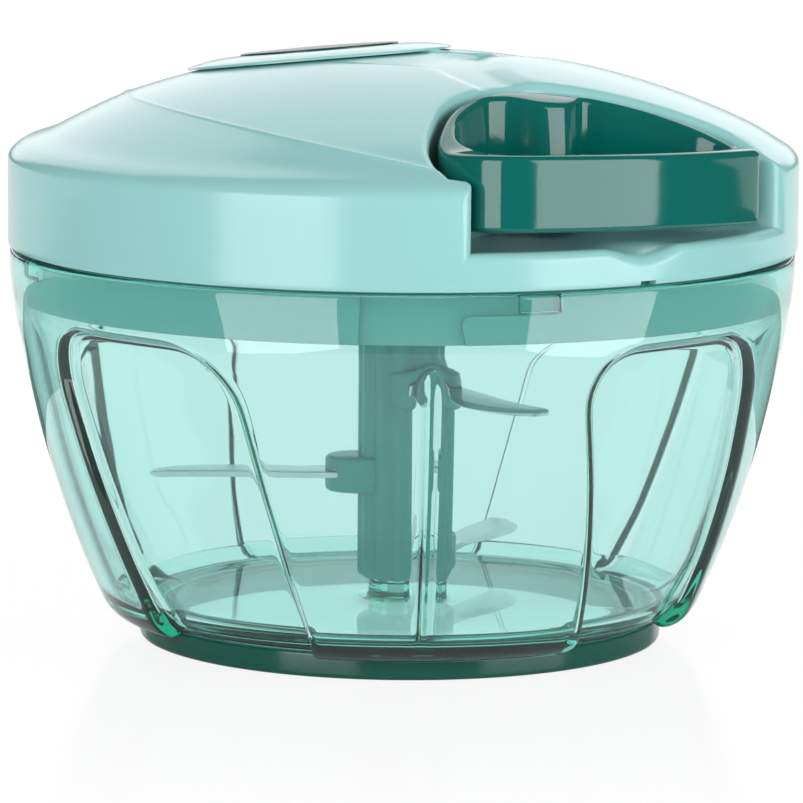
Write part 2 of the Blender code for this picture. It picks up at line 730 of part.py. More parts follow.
def recoil_spring(finish):
    low = DRUM_HIGH + FLANGE + GAP
    high = CUP_HIGH - GAP
    outer = FLANGE_R - CUP_WALL - GAP - SPRING_THICK / 2
    steps = int(SPRING_TURNS * 10)
    points = []
    for i in range(steps + 1):
        share = i / steps
        angle = 2.0 * math.pi * SPRING_TURNS * share
        middle = SPRING_START_R + (outer - SPRING_START_R) * share
        for radius, z in ((middle - SPRING_THICK / 2, low), (middle + SPRING_THICK / 2, low),
                          (middle + SPRING_THICK / 2, high), (middle - SPRING_THICK / 2, high)):
            points.append((radius * math.cos(angle), radius * math.sin(angle), z))
    faces = [(3, 2, 1, 0), (4 * steps, 4 * steps + 1, 4 * steps + 2, 4 * steps + 3)]
    for i in range(steps):
        for corner in range(4):
            after = (corner + 1) % 4
            faces.append((4 * i + corner, 4 * i + after, 4 * i + 4 + after, 4 * i + 4 + corner))
    return body("recoil_spring", points, faces, finish)


def drive_hub(finish):
    bore = AXLE_R + GAP
    made = turned("drive_hub", [
        (bore, AXLE_LOW - GAP), (0.02, AXLE_LOW - GAP), (0.02, STEM_LOW), (STEM_R, STEM_LOW), (STEM_R, HUB_LOW),
        (HUB_R, HUB_LOW), (HUB_R, HUB_HIGH), (bore, HUB_HIGH),
    ], 20, finish)
    dog = extruded("dog", [
        (-DOG_REACH, -DOG_HALF), (DOG_REACH, -DOG_HALF), (DOG_REACH, DOG_HALF), (-DOG_REACH, DOG_HALF),
    ], DOG_LOW, STEM_LOW + 1.0)
    combine(made, dog, "UNION")
    for az in PAWL_AZ:
        angle = math.radians(az)
        spot = (PAWL_PIVOT_R * math.cos(angle), PAWL_PIVOT_R * math.sin(angle))
        combine(made, rod("pin", PAWL_PIN_R, HUB_HIGH - 0.5, PAWL_HIGH, 16, spot=spot), "UNION")
    return made


def clutch_pawl(number, az, finish):
    # The tip trails its pivot, so a tooth turning with the reel pushes the hub round.
    outline = []
    for angle in range(-20, 201, 20):
        turn = math.radians(angle)
        outline.append((1.9 * math.cos(turn), 1.9 * math.sin(turn)))
    outline += [(-0.3, -4.3), (1.4, -6.0), (2.6, -6.5), (3.1, -5.3), (2.5, -3.1)]
    made = extruded(f"clutch_pawl_{number}", outline, PAWL_LOW, PAWL_HIGH, finish)
    combine(made, rod("hole", PAWL_PIN_R + 0.15, PAWL_LOW - 1.0, PAWL_HIGH + 1.0, 16), "DIFFERENCE")
    made.location = Vector((math.cos(math.radians(az)), math.sin(math.radians(az)), 0.0)) * PAWL_PIVOT_R * MM
    made.rotation_euler.z = math.radians(az)
    return made


def handle_top(x, y):
    front = HANDLE_HIGH + HANDLE_HIGH_SLOPE * (y - HANDLE_FRONT_Y)
    back = dome_z(x, y) - HANDLE_UNDER_DOME
    return 0.5 * (front + back + math.sqrt((front - back) ** 2 + 1.0))


def handle_low(y):
    return HANDLE_LOW + HANDLE_LOW_SLOPE * (y - HANDLE_FRONT_Y)


def pull_handle(finish):
    front = [polar(LID_R, az, 0)[:2] for az in np.linspace(60.5, 11.5, 22)]
    inner_front = [polar(LID_R - HANDLE_BAR, az, 0)[:2] for az in np.linspace(57.0, 14.5, 18)]
    outer = HANDLE_OUTER + front
    inner = HANDLE_INNER + inner_front
    centre = np.array(HANDLE_CENTRE)
    angles = set(round(math.atan2(y - centre[1], x - centre[0]), 5) for x, y in outer + inner)
    angles = sorted(angles)
    kept = [angles[0]]
    for angle in angles[1:]:
        if angle - kept[-1] > math.radians(3.4):
            kept.append(angle)
    count = len(kept)
    section = [
        ("out", 0.9, "low", 0.0), ("out", 0.25, "low", 0.25), ("out", 0.0, "low", 0.9),
        ("out", 0.0, "high", 1.2), ("out", 0.35, "high", 0.35), ("out", 1.2, "high", 0.0),
        ("in", 0.9, "high", 0.0), ("in", 0.25, "high", 0.25), ("in", 0.0, "high", 0.9),
        ("in", 0.0, "low", 0.7), ("in", 0.7, "low", 0.0),
    ]
    points = []
    for side, inset, level, drop in section:
        for angle in kept:
            reach_out = ray_distance(outer, centre, angle)
            reach_in = ray_distance(inner, centre, angle)
            limit = 0.4 * (reach_out - reach_in)
            reach = reach_out - min(inset, limit) if side == "out" else reach_in + min(inset, limit)
            x = centre[0] + reach * math.cos(angle)
            y = centre[1] + reach * math.sin(angle)
            z = handle_low(y) + drop if level == "low" else handle_top(x, y) - drop
            points.append((x, y, z))
    faces = grid_faces(len(section), count)
    last = (len(section) - 1) * count
    for i in range(count):
        after = (i + 1) % count
        faces.append((last + i, last + after, after, i))
    made = body("pull_handle", points, faces, finish)
    hole = rod("hole", CORD_HOLE_R, -3.0, KNOT_AT, 20)
    lay_along(hole, cord_point(0.0), pull_direction())
    combine(made, hole, "DIFFERENCE")
    seat = rod("seat", KNOT_R + 0.4, KNOT_AT - KNOT_R - 0.4, KNOT_AT + 5.0, 24)
    lay_along(seat, cord_point(0.0), pull_direction())
    combine(made, seat, "DIFFERENCE")
    return made


def cord_knot(finish):
    shape = bmesh.new()
    bmesh.ops.create_icosphere(shape, subdivisions=2, radius=KNOT_R * MM)
    made = add("cord_knot", shape, finish)
    made.location = Vector(cord_point(KNOT_AT)) * MM
    return made


def pull_cord(finish):
    mouth = cord_point(CORD_BEND)
    lead_r = WINDING_R + CORD_R + GAP
    bearing = math.atan2(mouth[1], mouth[0]) - math.acos(lead_r / math.hypot(mouth[0], mouth[1]))
    leave = np.array((lead_r * math.cos(bearing), lead_r * math.sin(bearing), CORD_Z))
    ahead = pull_direction()
    inward = (leave - mouth) / np.linalg.norm(leave - mouth)
    path = [leave, mouth + inward * 3.0, mouth + inward * 1.4 + ahead * 0.25, mouth + ahead * 0.5 + inward * 0.45,
            mouth + ahead * 1.5, cord_point(KNOT_AT - KNOT_R - GAP)]
    steps = 12
    points = []
    for i, here in enumerate(path):
        before = path[max(0, i - 1)]
        after = path[min(len(path) - 1, i + 1)]
        forward = (after - before) / np.linalg.norm(after - before)
        side = np.cross(forward, (0.0, 0.0, 1.0))
        side /= np.linalg.norm(side)
        for step in range(steps):
            angle = 2.0 * math.pi * step / steps
            points.append(here + side * CORD_R * math.cos(angle) - np.array((0, 0, CORD_R * math.sin(angle))))
    faces = grid_faces(len(path), steps)
    faces.append(tuple(range(steps))[::-1])
    faces.append(tuple((len(path) - 1) * steps + step for step in range(steps)))
    return body("pull_cord", points, faces, finish)


def blade_outline(reach):
    return [
        (BLADE_ROOT_R, -BLADE_ROOT_HALF), (LOBE_R + 0.5, -BLADE_ROOT_HALF), (0.45 * reach, -5.2),
        (0.62 * reach, -6.4), (0.78 * reach, -6.2), (0.9 * reach, -4.4), (0.995 * reach, 0.0), (0.93 * reach, 1.6),
        (0.8 * reach, 1.5), (0.65 * reach, 1.9), (0.48 * reach, 3.0), (LOBE_R + 0.5, BLADE_ROOT_HALF),
        (BLADE_ROOT_R, BLADE_ROOT_HALF),
    ]


def blade(number, height, az, reach, finish):
    outline = blade_outline(reach)
    made = extruded(f"blade_{number}", outline, height - BLADE_THICK / 2, height + BLADE_THICK / 2, finish)
    made.rotation_euler.z = math.radians(az - 90.0)
    return made


def blade_shaft(finish):
    steps = SHAFT_FLUTES * 3
    points = []
    rows = [(0.6, SHAFT_LOW), (0.0, SHAFT_LOW + 0.6), (0.0, SHAFT_HIGH - 0.6), (0.5, SHAFT_HIGH)]
    for inset, z in rows:
        for step in range(steps):
            angle = 2.0 * math.pi * step / steps
            radius = SHAFT_R - inset - SHAFT_FLUTE * (0.0, 0.0, 1.0)[step % 3]
            points.append((radius * math.cos(angle), radius * math.sin(angle), z))
    faces = grid_faces(len(rows), steps)
    faces.append(tuple(range(steps))[::-1])
    faces.append(tuple((len(rows) - 1) * steps + step for step in range(steps)))
    made = body("blade_shaft", points, faces, finish)
    for height, az, reach in BLADES:
        lobe = [(0.0, -LOBE_HALF)]
        for angle in range(-90, 91, 30):
            turn = math.radians(angle)
            lobe.append((LOBE_R - LOBE_HALF + LOBE_HALF * math.cos(turn), LOBE_HALF * math.sin(turn)))
        lobe.append((0.0, LOBE_HALF))
        block = extruded("block", lobe, height - LOBE_THICK / 2, height + LOBE_THICK / 2)
        block.rotation_euler.z = math.radians(az - 90.0)
        combine(made, block, "UNION")
    low_hole = rod("hole", SHAFT_BORE_R, SHAFT_LOW - 1.0, SHAFT_BORE_HIGH, 32)
    combine(made, low_hole, "DIFFERENCE")
    socket = rod("socket", SOCKET_R, SOCKET_LOW, SHAFT_HIGH + 1.0, 32)
    for side in (-1.0, 1.0):
        rib = extruded("rib", [
            (-SOCKET_RIB_HALF, side * SOCKET_RIB_R), (SOCKET_RIB_HALF, side * SOCKET_RIB_R),
            (SOCKET_RIB_HALF, side * (SOCKET_R + 2.0)), (-SOCKET_RIB_HALF, side * (SOCKET_R + 2.0)),
        ], SOCKET_LOW - 1.0, STEM_LOW - 1.0)
        combine(socket, rib, "DIFFERENCE")
    combine(made, socket, "DIFFERENCE")
    for height, az, reach in BLADES:
        half = BLADE_THICK / 2 + SNUG
        slot = extruded("slot", [
            (BLADE_ROOT_R - SNUG, -BLADE_ROOT_HALF - SNUG), (LOBE_R + 4.0, -BLADE_ROOT_HALF - SNUG),
            (LOBE_R + 4.0, BLADE_ROOT_HALF + SNUG), (BLADE_ROOT_R - SNUG, BLADE_ROOT_HALF + SNUG),
        ], height - half, height + half)
        slot.rotation_euler.z = math.radians(az - 90.0)
        combine(made, slot, "DIFFERENCE")
    return made


def ring(name, inner, outer, low, high, steps, finish, edge=0.0):
    profile = [(inner, low), (outer - edge, low), (outer, low + edge), (outer, high - edge), (outer - edge, high),
               (inner, high)]
    if not edge:
        profile = [(inner, low), (outer, low), (outer, high), (inner, high)]
    return turned(name, profile, steps, finish)


def main():
    for obj in list(bpy.data.objects):
        bpy.data.objects.remove(obj, do_unlink=True)

    clear = material("clear plastic", (0.80, 0.93, 0.90), 0.05, transmission=0.9)
    mint = material("mint plastic", (0.29, 0.61, 0.62), 0.32)
    dark = material("dark green plastic", (0.003, 0.09, 0.07), 0.15)
    grip = material("soft green ring", (0.01, 0.10, 0.07), 0.5)
    inlay = material("dark inlay", (0.01, 0.08, 0.07), 0.3)
    teal = material("teal plastic", (0.05, 0.35, 0.33), 0.35)
    white = material("white plastic", (0.75, 0.77, 0.76), 0.4)
    steel = material("steel", (0.62, 0.63, 0.64), 0.25, metallic=1.0)
    spring = material("spring steel", (0.32, 0.33, 0.36), 0.3, metallic=1.0)
    brass = material("sintered bronze", (0.55, 0.38, 0.18), 0.35, metallic=1.0)
    rope = material("cord", (0.70, 0.72, 0.70), 0.8)
    rubber = material("seal rubber", (0.02, 0.16, 0.14), 0.6)

    bowl(clear)
    turned("base_ring", [
        (BASE_INNER_R, 0.0), (BASE_R - 0.8, 0.0), (BASE_R, 0.8), (BASE_R, BASE_TOP), (FOOT_R + GAP, BASE_TOP),
        (FOOT_R + GAP, FOOT_LOW - GAP), (BASE_INNER_R, FOOT_LOW - GAP),
    ], 56, grip)
    rod("bowl_pin", PIN_R, PIN_LOW, PIN_HIGH, 16, steel, edge=0.4)

    ring("lid_seal", SKIRT_R + GAP, LID_R - LID_WALL - SEAL_FIT, RIM_TOP + SNUG, PLATE_LOW - SNUG, 48, rubber)
    lid_cover(mint)
    badge_disc(mint)
    badge_inlay(inlay)
    lid_base(mint)
    for number, (radius, az) in enumerate(SCREWS, 1):
        screw(number, radius, az, steel)

    reel(white)
    ring("cord_winding", DRUM_R + SNUG, WINDING_R, DRUM_LOW + GAP, DRUM_HIGH - GAP, 28, rope)
    recoil_spring(spring)
    ring("spring_cover", AXLE_R + SNUG, FLANGE_R, COVER_PLATE_LOW, COVER_PLATE_HIGH, 28, steel)
    rod("reel_axle", AXLE_R, AXLE_LOW, AXLE_HIGH, 16, steel, edge=0.3)
    drive_hub(white)
    for number, az in enumerate(PAWL_AZ, 1):
        clutch_pawl(number, az, teal)
    ring("hub_bush", STEM_R + GAP, STEM_R + GAP + BUSH_WALL, COLLAR_LOW, COLLAR_HIGH, 24, brass)
    ring("hub_washer", STEM_R + GAP, COLLAR_R, COLLAR_HIGH + SNUG, HUB_LOW - SNUG, 24, steel)

    pull_handle(dark)
    cord_knot(rope)
    pull_cord(rope)
    guide = ring("cord_guide", CORD_HOLE_R, GUIDE_R, GUIDE_INNER, GUIDE_OUTER, 20, steel)
    lay_along(guide, cord_point(0.0), pull_direction())

    blade_shaft(teal)
    ring("shaft_bush", PIN_R + GAP, SHAFT_BORE_R - GAP, SHAFT_LOW + GAP, PIN_HIGH - 0.5, 20, brass)
    for number, (height, az, reach) in enumerate(BLADES, 1):
        blade(number, height, az, reach, steel)

    for obj in bpy.data.objects:
        smooth(obj)


main()
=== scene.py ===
"""Pull-cord food chopper: the looks of its bowl, lid, handle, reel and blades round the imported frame."""

import math

import bpy
import numpy as np
from bpy.props import FloatProperty, FloatVectorProperty, IntProperty, PointerProperty
from mathutils import Euler, Matrix, Vector


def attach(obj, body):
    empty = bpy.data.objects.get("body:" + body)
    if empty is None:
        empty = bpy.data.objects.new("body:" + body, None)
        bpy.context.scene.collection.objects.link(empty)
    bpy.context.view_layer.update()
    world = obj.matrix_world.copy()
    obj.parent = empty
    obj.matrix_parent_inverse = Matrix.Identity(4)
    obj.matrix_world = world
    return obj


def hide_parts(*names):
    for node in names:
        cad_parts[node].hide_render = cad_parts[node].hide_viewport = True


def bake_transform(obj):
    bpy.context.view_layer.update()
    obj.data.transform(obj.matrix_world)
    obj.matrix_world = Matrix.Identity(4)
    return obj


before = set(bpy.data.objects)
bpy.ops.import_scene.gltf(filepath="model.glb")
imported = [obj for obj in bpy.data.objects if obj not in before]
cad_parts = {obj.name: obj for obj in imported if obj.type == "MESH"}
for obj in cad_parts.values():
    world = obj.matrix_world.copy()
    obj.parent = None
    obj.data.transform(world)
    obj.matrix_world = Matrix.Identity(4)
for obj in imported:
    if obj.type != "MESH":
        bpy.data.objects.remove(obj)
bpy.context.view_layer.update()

bl_info = {
    "name": "Pull-cord food chopper",
    "version": (1, 0, 0),
    "blender": (4, 5, 0),
    "location": "3D View > Sidebar > Chopper",
    "description": "Builds the finished pieces, materials and stage of a pull-cord food chopper",
    "category": "Object",
}

# Lengths are in millimetres, as in the part, and are turned into metres when a mesh is laid.
MM = 0.001

# Bowl
BOWL_HEIGHTS = [6.8, 10.8, 14.7, 18.5, 22.4, 26.2, 30.1, 33.9, 37.8, 41.6, 45.4, 49.2, 53.0, 58.0, 61.5]
BOWL_RADII = [47.4, 49.2, 50.8, 52.2, 53.6, 54.8, 56.0, 57.0, 57.9, 58.8, 59.5, 60.4, 61.05, 61.75, 61.75]
BOWL_LOW = 6.8
BOWL_WALL = 2.0
RIM_TOP = 61.5
RIM_INNER_R = 59.0
PANEL_AZ = -39.7
PANEL_HALF = 17.7
PANEL_TOP = 51.9
PANEL_CORNER_R = 9.0
PANEL_TWIST = 0.2
PANEL_MID_Z = 28.0
RIB_AZ = 4.4
RIB_HEIGHT = 1.2
LUG_AZ = 20.1
LUG_HALF = 3.1
# Degrees of azimuth in one millimetre along the wall, at its mean radius.
MM_TO_DEGREES = math.degrees(1.0 / 58.5)
RIM_LOW = 56.0
# Profiles of (radius, z). The foot and the heel have one between the arches and one in them.
RIM = [
    (61.75, 58.5), (61.75, 60.6), (61.72, 61.15), (61.5, 61.42), (61.2, RIM_TOP), (59.55, RIM_TOP),
    (59.25, 61.42), (59.04, 61.2), (RIM_INNER_R, 60.8), (RIM_INNER_R, 58.0), (RIM_INNER_R, RIM_LOW),
]
FOOT_PLAIN = [(46.6, 5.2), (45.3, 4.0), (43.5, 3.2), (42.0, 3.3), (41.6, 4.2)]
FOOT_PRESSED = [(43.8, 6.1), (43.1, 5.6), (42.5, 5.2), (42.0, 4.6), (41.6, 4.2)]
FOOT_RINGS = [
    (39.75, 4.2), (39.6, 4.05), (39.6, 1.75), (39.45, 1.55), (39.2, 1.5), (38.0, 1.5), (37.75, 1.55),
    (37.6, 1.75), (37.6, 4.05), (37.4, 4.2), (25.0, 4.2), (10.0, 4.2), (0.0, 4.2),
]
HEEL_PLAIN = [(45.3, 8.8), (43.9, 7.3), (41.6, 6.5), (39.0, 6.4)]
HEEL_PRESSED = [(42.2, 9.0), (41.0, 7.6), (39.4, 6.6), (37.6, 6.4)]
HEEL_RINGS = [
    (25.0, 6.4), (8.0, 6.4), (5.5, 6.4), (5.1, 6.6), (5.0, 7.0), (5.0, 8.6), (4.8, 8.95), (4.5, 9.0),
    (2.5, 9.0), (2.15, 8.9), (2.1, 8.6), (2.1, 5.8), (2.0, 5.52), (1.0, 5.5), (0.0, 5.5),
]

# Lid
LID_R = 62.0
LID_LOW = 62.1
LID_WALL = 1.8
WALL_TOP = 75.6
SHOULDER_R = 59.4
SHOULDER_FALL = 0.51
DOME_EDGE = 77.8
DOME_RISE = 14.5
DOME_R = 60.8
DOME_POWER = 2.2
CREASE_X = 22.0
CREASE_Y = 7.0
CREASE_R = 66.0
CREASE_SLOPE = 0.075
CREASE_DROP = 1.0
CREASE_FADE = 4.8
CREASE_END = 58.3
CREASE_BAND = 0.7
BEAD_HEIGHT = 0.18
BEAD_HALF = 0.32
POCKET_FLOOR = 67.8
POCKET_SUNK = 1.2
POCKET_LEFT = [
    (6.9, -57.8), (4.8, -54.9), (3.8, -51.2), (3.8, -47.6), (4.2, -44.4), (5.5, -37.9), (7.5, -33.5),
    (10.8, -29.2), (14.2, -25.7), (18.7, -23.3), (24.0, -21.7), (29.6, -20.5), (37.5, -19.3),
    (45.6, -18.6), (50.0, -18.9),
]
POCKET_FAN = (46.0, -54.0)
POCKET_WALL = [
    (6.0, -63.5), (4.4, -58.5), (2.2, -54.8), (1.9, -51.2), (1.9, -47.4), (2.4, -44.0), (3.8, -37.2),
    (6.0, -32.4), (9.5, -28.0), (12.9, -24.2), (18.0, -21.5), (23.6, -19.9), (29.3, -18.7), (37.3, -17.5),
    (45.5, -16.6), (50.4, -17.0), (55.0, -18.8), (60.0, -22.5), (75.0, -42.0), (55.0, -78.0),
    (12.0, -78.0),
]
RIGHT_MOUTH = [(50.0, -18.9, 0), (57.6, -22.9, 3.4), (60.3, -15.4, 0)]
LIP_OUT = 1.7
TOOL_LOW = 58.0
TOOL_HIGH = 100.0
CUT_HIGH = 110.0
LEDGE_ROUND = 1.5
MOUTH_X = 8.2
MOUTH_Y = -59.64
MOUTH_R = 1.8
DIP_AZ = 36.3
DIP_R = 11.4
DIP_LOW = 66.0
DIP_SLOPE = 0.36
NOTCH_AZ = 36.3
NOTCH_HALF = 1.35
MOUND = [
    (13.0, -8.4), (13.4, -15.6), (14.9, -19.2), (17.0, -22.5), (19.0, -23.8), (21.4, -23.6),
    (30.0, -32.0), (64.0, -32.0), (70.0, -6.0), (60.0, 8.0), (47.0, 14.0), (33.0, 13.0), (22.0, 8.0),
    (15.0, 0.0),
]
VALLEY = [
    (-13.0, -10.0), (-10.7, -11.7), (3.9, -16.4), (7.2, -22.7), (9.9, -26.0), (12.0, -29.0),
    (22.0, -32.0), (21.4, -23.6), (19.0, -23.8), (17.0, -22.5), (14.9, -19.2), (13.4, -15.6),
    (13.0, -8.4), (13.0, 0.0), (4.0, -2.0),
]
SCREWS = [(49.0, -25.0), (49.0, -100.0), (49.0, 175.0), (49.0, 100.0)]

# Badge
BADGE_X = -13.5
BADGE_Y = 11.0
BADGE_R = 20.8
INLAY_R = 12.5
BADGE_ROUND = 0.3
INLAY_ROUND = 0.28

# Inner plate of the lid
PLATE_LOW = 63.7
PLATE_HIGH = 65.0
PLATE_R = 59.9
SKIRT_R = 58.5
SKIRT_INNER_R = 56.3
SKIRT_LOW = 54.0
GROOVE_R = 57.0

# Handle and cord
PULL_AZ = 38.0
HANDLE_CENTRE = (28.0, -40.0)
HANDLE_LEAN = 1.0
HANDLE_OUTER = [
    (17.7, -59.4), (16.1, -59.5), (14.5, -59.4), (13.0, -59.0), (11.7, -58.5), (9.6, -57.2), (7.8, -55.4),
    (6.4, -53.4), (5.4, -50.9), (5.0, -48.0), (5.3, -45.0), (6.6, -38.4), (8.6, -34.0), (11.7, -30.0),
    (14.9, -26.6), (19.3, -24.3), (24.5, -22.9), (29.8, -21.7), (37.5, -20.6), (43.0, -20.0),
    (46.3, -20.3), (49.0, -22.0), (51.6, -25.0), (54.3, -28.9),
]
HANDLE_INNER = [
    (11.2, -50.2), (9.4, -49.0), (8.2, -47.2), (7.9, -45.0), (8.5, -40.3), (10.0, -36.4), (12.0, -32.3),
    (13.6, -30.8), (16.7, -29.8), (19.4, -30.4), (21.4, -30.7), (24.0, -29.8), (25.9, -28.0),
    (26.6, -24.1), (27.9, -22.9), (32.9, -22.6), (39.0, -22.5), (45.1, -23.0), (48.2, -24.6),
    (50.0, -26.9),
]
CORD_Z = 76.0
CORD_BACK = (17.7, -25.05)
CORD_R = 1.0
KNOT_AT = 5.0
WINDING_R = 17.0
DRUM_R = 14.0
DRUM_LOW = 72.2
DRUM_HIGH = 79.4
TURNS_PER_LAYER = 3.5
KNOT_SIZE = 0.38

# Blade shaft
BLADES = [(12.4, 155.0, 40.0), (26.0, 275.0, 40.0), (40.0, 35.0, 38.0)]
SHAFT_R = 6.8
SHAFT_LOW = 9.3
SHAFT_HIGH = 56.0
LOBE_R = 12.0
LOBE_HALF = 4.8
# A blade's belly and back from its root, as (share of its reach, y).
BELLY = [(0.45, -5.2), (0.62, -6.4), (0.78, -6.2), (0.9, -4.4), (0.965, -2.0), (0.995, 0.2)]
BACK = [(0.48, 3.0), (0.65, 1.9), (0.8, 1.5), (0.93, 1.6), (0.98, 1.3), (0.995, 0.2)]

# Camera, in metres and degrees
CAMERA_PLACE = (0.0, -0.9355, 0.1745)
CAMERA_TILT = 8.366
CAMERA_ROLL = 0.509
CAMERA_LENS = 268.4


def millimetres(name, description, default, low, high):
    return FloatProperty(
        name=name, description=f"{description}, in millimetres", default=default, min=low, max=high,
    )


def colour(name, owner, default):
    return FloatVectorProperty(
        name=name, description=f"Colour {owner}", subtype="COLOR", size=3, default=default,
    )


class ChopperSizes(bpy.types.PropertyGroup):
    lip: millimetres("Pocket lip", "Rounding of the lid's edge round the handle", 1.3, 0.4, 2.0)
    mound: millimetres("Mound height", "How far the lid swells behind the handle", 0.5, 0.0, 1.2)
    valley: millimetres("Valley depth", "Depth of the smooth valley beside the mound", 0.5, 0.0, 1.0)
    panel_depth: millimetres("Arch depth", "How far the bowl's four arches are pressed in", 1.8, 0.5, 2.4)
    strands: IntProperty(
        name="Cord strands", description="Strands in the pull cord's lay", default=3, min=2, max=6,
    )


class ChopperColours(bpy.types.PropertyGroup):
    mint: colour("Mint plastic", "of the lid", (0.30, 0.61, 0.60))
    dark: colour("Dark green plastic", "of the handle", (0.001, 0.125, 0.104))
    ring: colour("Foot ring", "of the ring under the bowl", (0.001, 0.082, 0.056))
    teal: colour("Shaft plastic", "of the blade shaft", (0.07, 0.38, 0.35))
    glass: colour("Bowl tint", "that the clear bowl takes through its thickness", (0.07, 0.85, 0.76))


def sizes():
    return bpy.context.scene.chopper_sizes


def colours():
    return bpy.context.scene.chopper_colours


def only(piece):
    if bpy.context.object and bpy.context.object.mode != "OBJECT":
        bpy.ops.object.mode_set(mode="OBJECT")
    bpy.ops.object.select_all(action="DESELECT")
    piece.select_set(True)
    bpy.context.view_layer.objects.active = piece


def edit(piece):
    only(piece)
    bpy.ops.object.mode_set(mode="EDIT")
    bpy.ops.mesh.select_all(action="SELECT")


def outward():
    """Turns all faces of the mesh in hand outwards and ends its editing."""
    bpy.ops.mesh.select_all(action="SELECT")
    bpy.ops.mesh.normals_make_consistent(inside=False)
    bpy.ops.object.mode_set(mode="OBJECT")


def named(piece, name):
    piece.name = name
    piece.data.name = name
    return piece


def added(name, operator, **settings):
    bpy.ops.object.select_all(action="DESELECT")
    operator(**settings)
    return named(bpy.context.object, name)


def laid(name, rows):
    """A sheet of faces laid on rows of places, in millimetres."""
    places = np.array(rows)
    count = {"x_subdivisions": places.shape[1] - 1, "y_subdivisions": places.shape[0] - 1}
    piece = added(name, bpy.ops.mesh.primitive_grid_add, size=2.0, **count)
    piece.data.vertices.foreach_set("co", (places.reshape(-1, 3) * MM).ravel())
    piece.data.update()
    return piece


def weld(piece, reach=0.001):
    edit(piece)
    bpy.ops.mesh.remove_doubles(threshold=reach * MM)
    outward()
    return piece


def sheet(name, rows, angle, reach=0.001):
    return shaded(weld(laid(name, rows), reach), angle)


def spun(piece, degrees):
    piece.data.transform(Matrix.Rotation(math.radians(degrees), 4, "Z"))
    return piece


def joined(name, pieces):
    only(pieces[0])
    for piece in pieces[1:]:
        piece.select_set(True)
    bpy.ops.object.join()
    return named(pieces[0], name)


def copied(piece, turn):
    only(piece)
    bpy.ops.object.duplicate(linked=False)
    return spun(bpy.context.object, turn)


def modified(piece, kind, **settings):
    modifier = piece.modifiers.new(kind, kind)
    for key, value in settings.items():
        setattr(modifier, key, value)
    only(piece)
    bpy.ops.object.modifier_apply(modifier=modifier.name)
    return piece


def cut(piece, tool, operation="DIFFERENCE"):
    modified(piece, "BOOLEAN", operation=operation, solver="EXACT", object=tool)
    bpy.data.objects.remove(tool, do_unlink=True)
    return piece


def softened(piece, width, angle):
    return modified(
        piece, "BEVEL", width=width * MM, segments=3, limit_method="ANGLE", angle_limit=math.radians(angle),
    )


def outlined(name, places, fill):
    """A closed outline as a mesh in hand for editing."""
    piece = added(name, bpy.ops.mesh.primitive_circle_add, vertices=len(places), radius=0.01, fill_type=fill)
    for vertex, place in zip(piece.data.vertices, places):
        vertex.co = [value * MM for value in place]
    edit(piece)
    return piece


def shaded(piece, angle):
    only(piece)
    bpy.ops.object.shade_smooth_by_angle(angle=math.radians(angle))
    return piece


def turned(name, profile, steps):
    """A profile of (radius, z), a closed outline, spun round the z axis."""
    piece = outlined(name, [(radius, 0.0, z) for radius, z in profile], "NOTHING")
    bpy.ops.mesh.spin(steps=steps, angle=2.0 * math.pi, center=(0, 0, 0), axis=(0, 0, 1), use_auto_merge=True)
    return weld(piece)


def slab(name, outline, low, high):
    """An outline of (x, y) filled and drawn up from low to high."""
    piece = outlined(name, [(x, y, low) for x, y in outline], "NGON")
    bpy.ops.mesh.extrude_region_move(TRANSFORM_OT_translate={"value": (0, 0, (high - low) * MM)})
    outward()
    return piece


def bezier(share, start, middle, end):
    return (1 - share) ** 2 * start + 2 * share * (1 - share) * middle + share ** 2 * end


def rod(name, radius, low, high, steps, spot=(0.0, 0.0)):
    size = {"radius": radius * MM, "depth": (high - low) * MM}
    piece = added(name, bpy.ops.mesh.primitive_cylinder_add, vertices=steps, **size)
    piece.data.transform(Matrix.Translation((spot[0] * MM, spot[1] * MM, (low + high) / 2 * MM)))
    return piece


def rounded(corners, segments):
    """An outline whose corners, each (x, y, radius), are rounded."""
    points = []
    count = len(corners)
    for i, (x, y, radius) in enumerate(corners):
        here = np.array((x, y))
        if not radius:
            points.append(tuple(here))
            continue
        before = np.array(corners[i - 1][:2]) - here
        after = np.array(corners[(i + 1) % count][:2]) - here
        length = min(np.linalg.norm(before), np.linalg.norm(after))
        before /= np.linalg.norm(before)
        after /= np.linalg.norm(after)
        half = 0.5 * math.acos(np.clip(before.dot(after), -1.0, 1.0))
        reach = min(radius / math.tan(half), 0.48 * length)
        for share in np.linspace(0.0, 1.0, segments + 1):
            points.append(tuple(bezier(share, here + before * reach, here, here + after * reach)))
    return points


def unit(vectors):
    return vectors / np.maximum(1e-9, np.linalg.norm(vectors, axis=-1, keepdims=True))


def run_of(path):
    """The length along a path up to each of its points."""
    return np.concatenate(((0.0,), np.cumsum(np.linalg.norm(np.diff(path, axis=0), axis=1))))


def curve_through(points, spacing):
    """Points of a smooth open curve through the given ones, a spacing apart."""
    points = np.array(points, float)
    ends = np.vstack((2 * points[0] - points[1], points, 2 * points[-1] - points[-2]))
    dense = []
    for i in range(1, len(ends) - 2):
        p0, p1, p2, p3 = ends[i - 1: i + 3]
        for t in np.linspace(0.0, 1.0, 16, endpoint=False):
            dense.append(0.5 * (2 * p1 + (p2 - p0) * t + (2 * p0 - 5 * p1 + 4 * p2 - p3) * t ** 2
                                + (3 * p1 - p0 - 3 * p2 + p3) * t ** 3))
    dense = np.array(dense + [points[-1]])
    return resampled(dense, max(2, int(round(run_of(dense)[-1] / spacing)) + 1))


def row(x, y, height):
    """Places at x and y, whose height is a number, an array or a function of both."""
    return np.stack((x, y, np.full_like(x, height(x, y) if callable(height) else height)), -1)


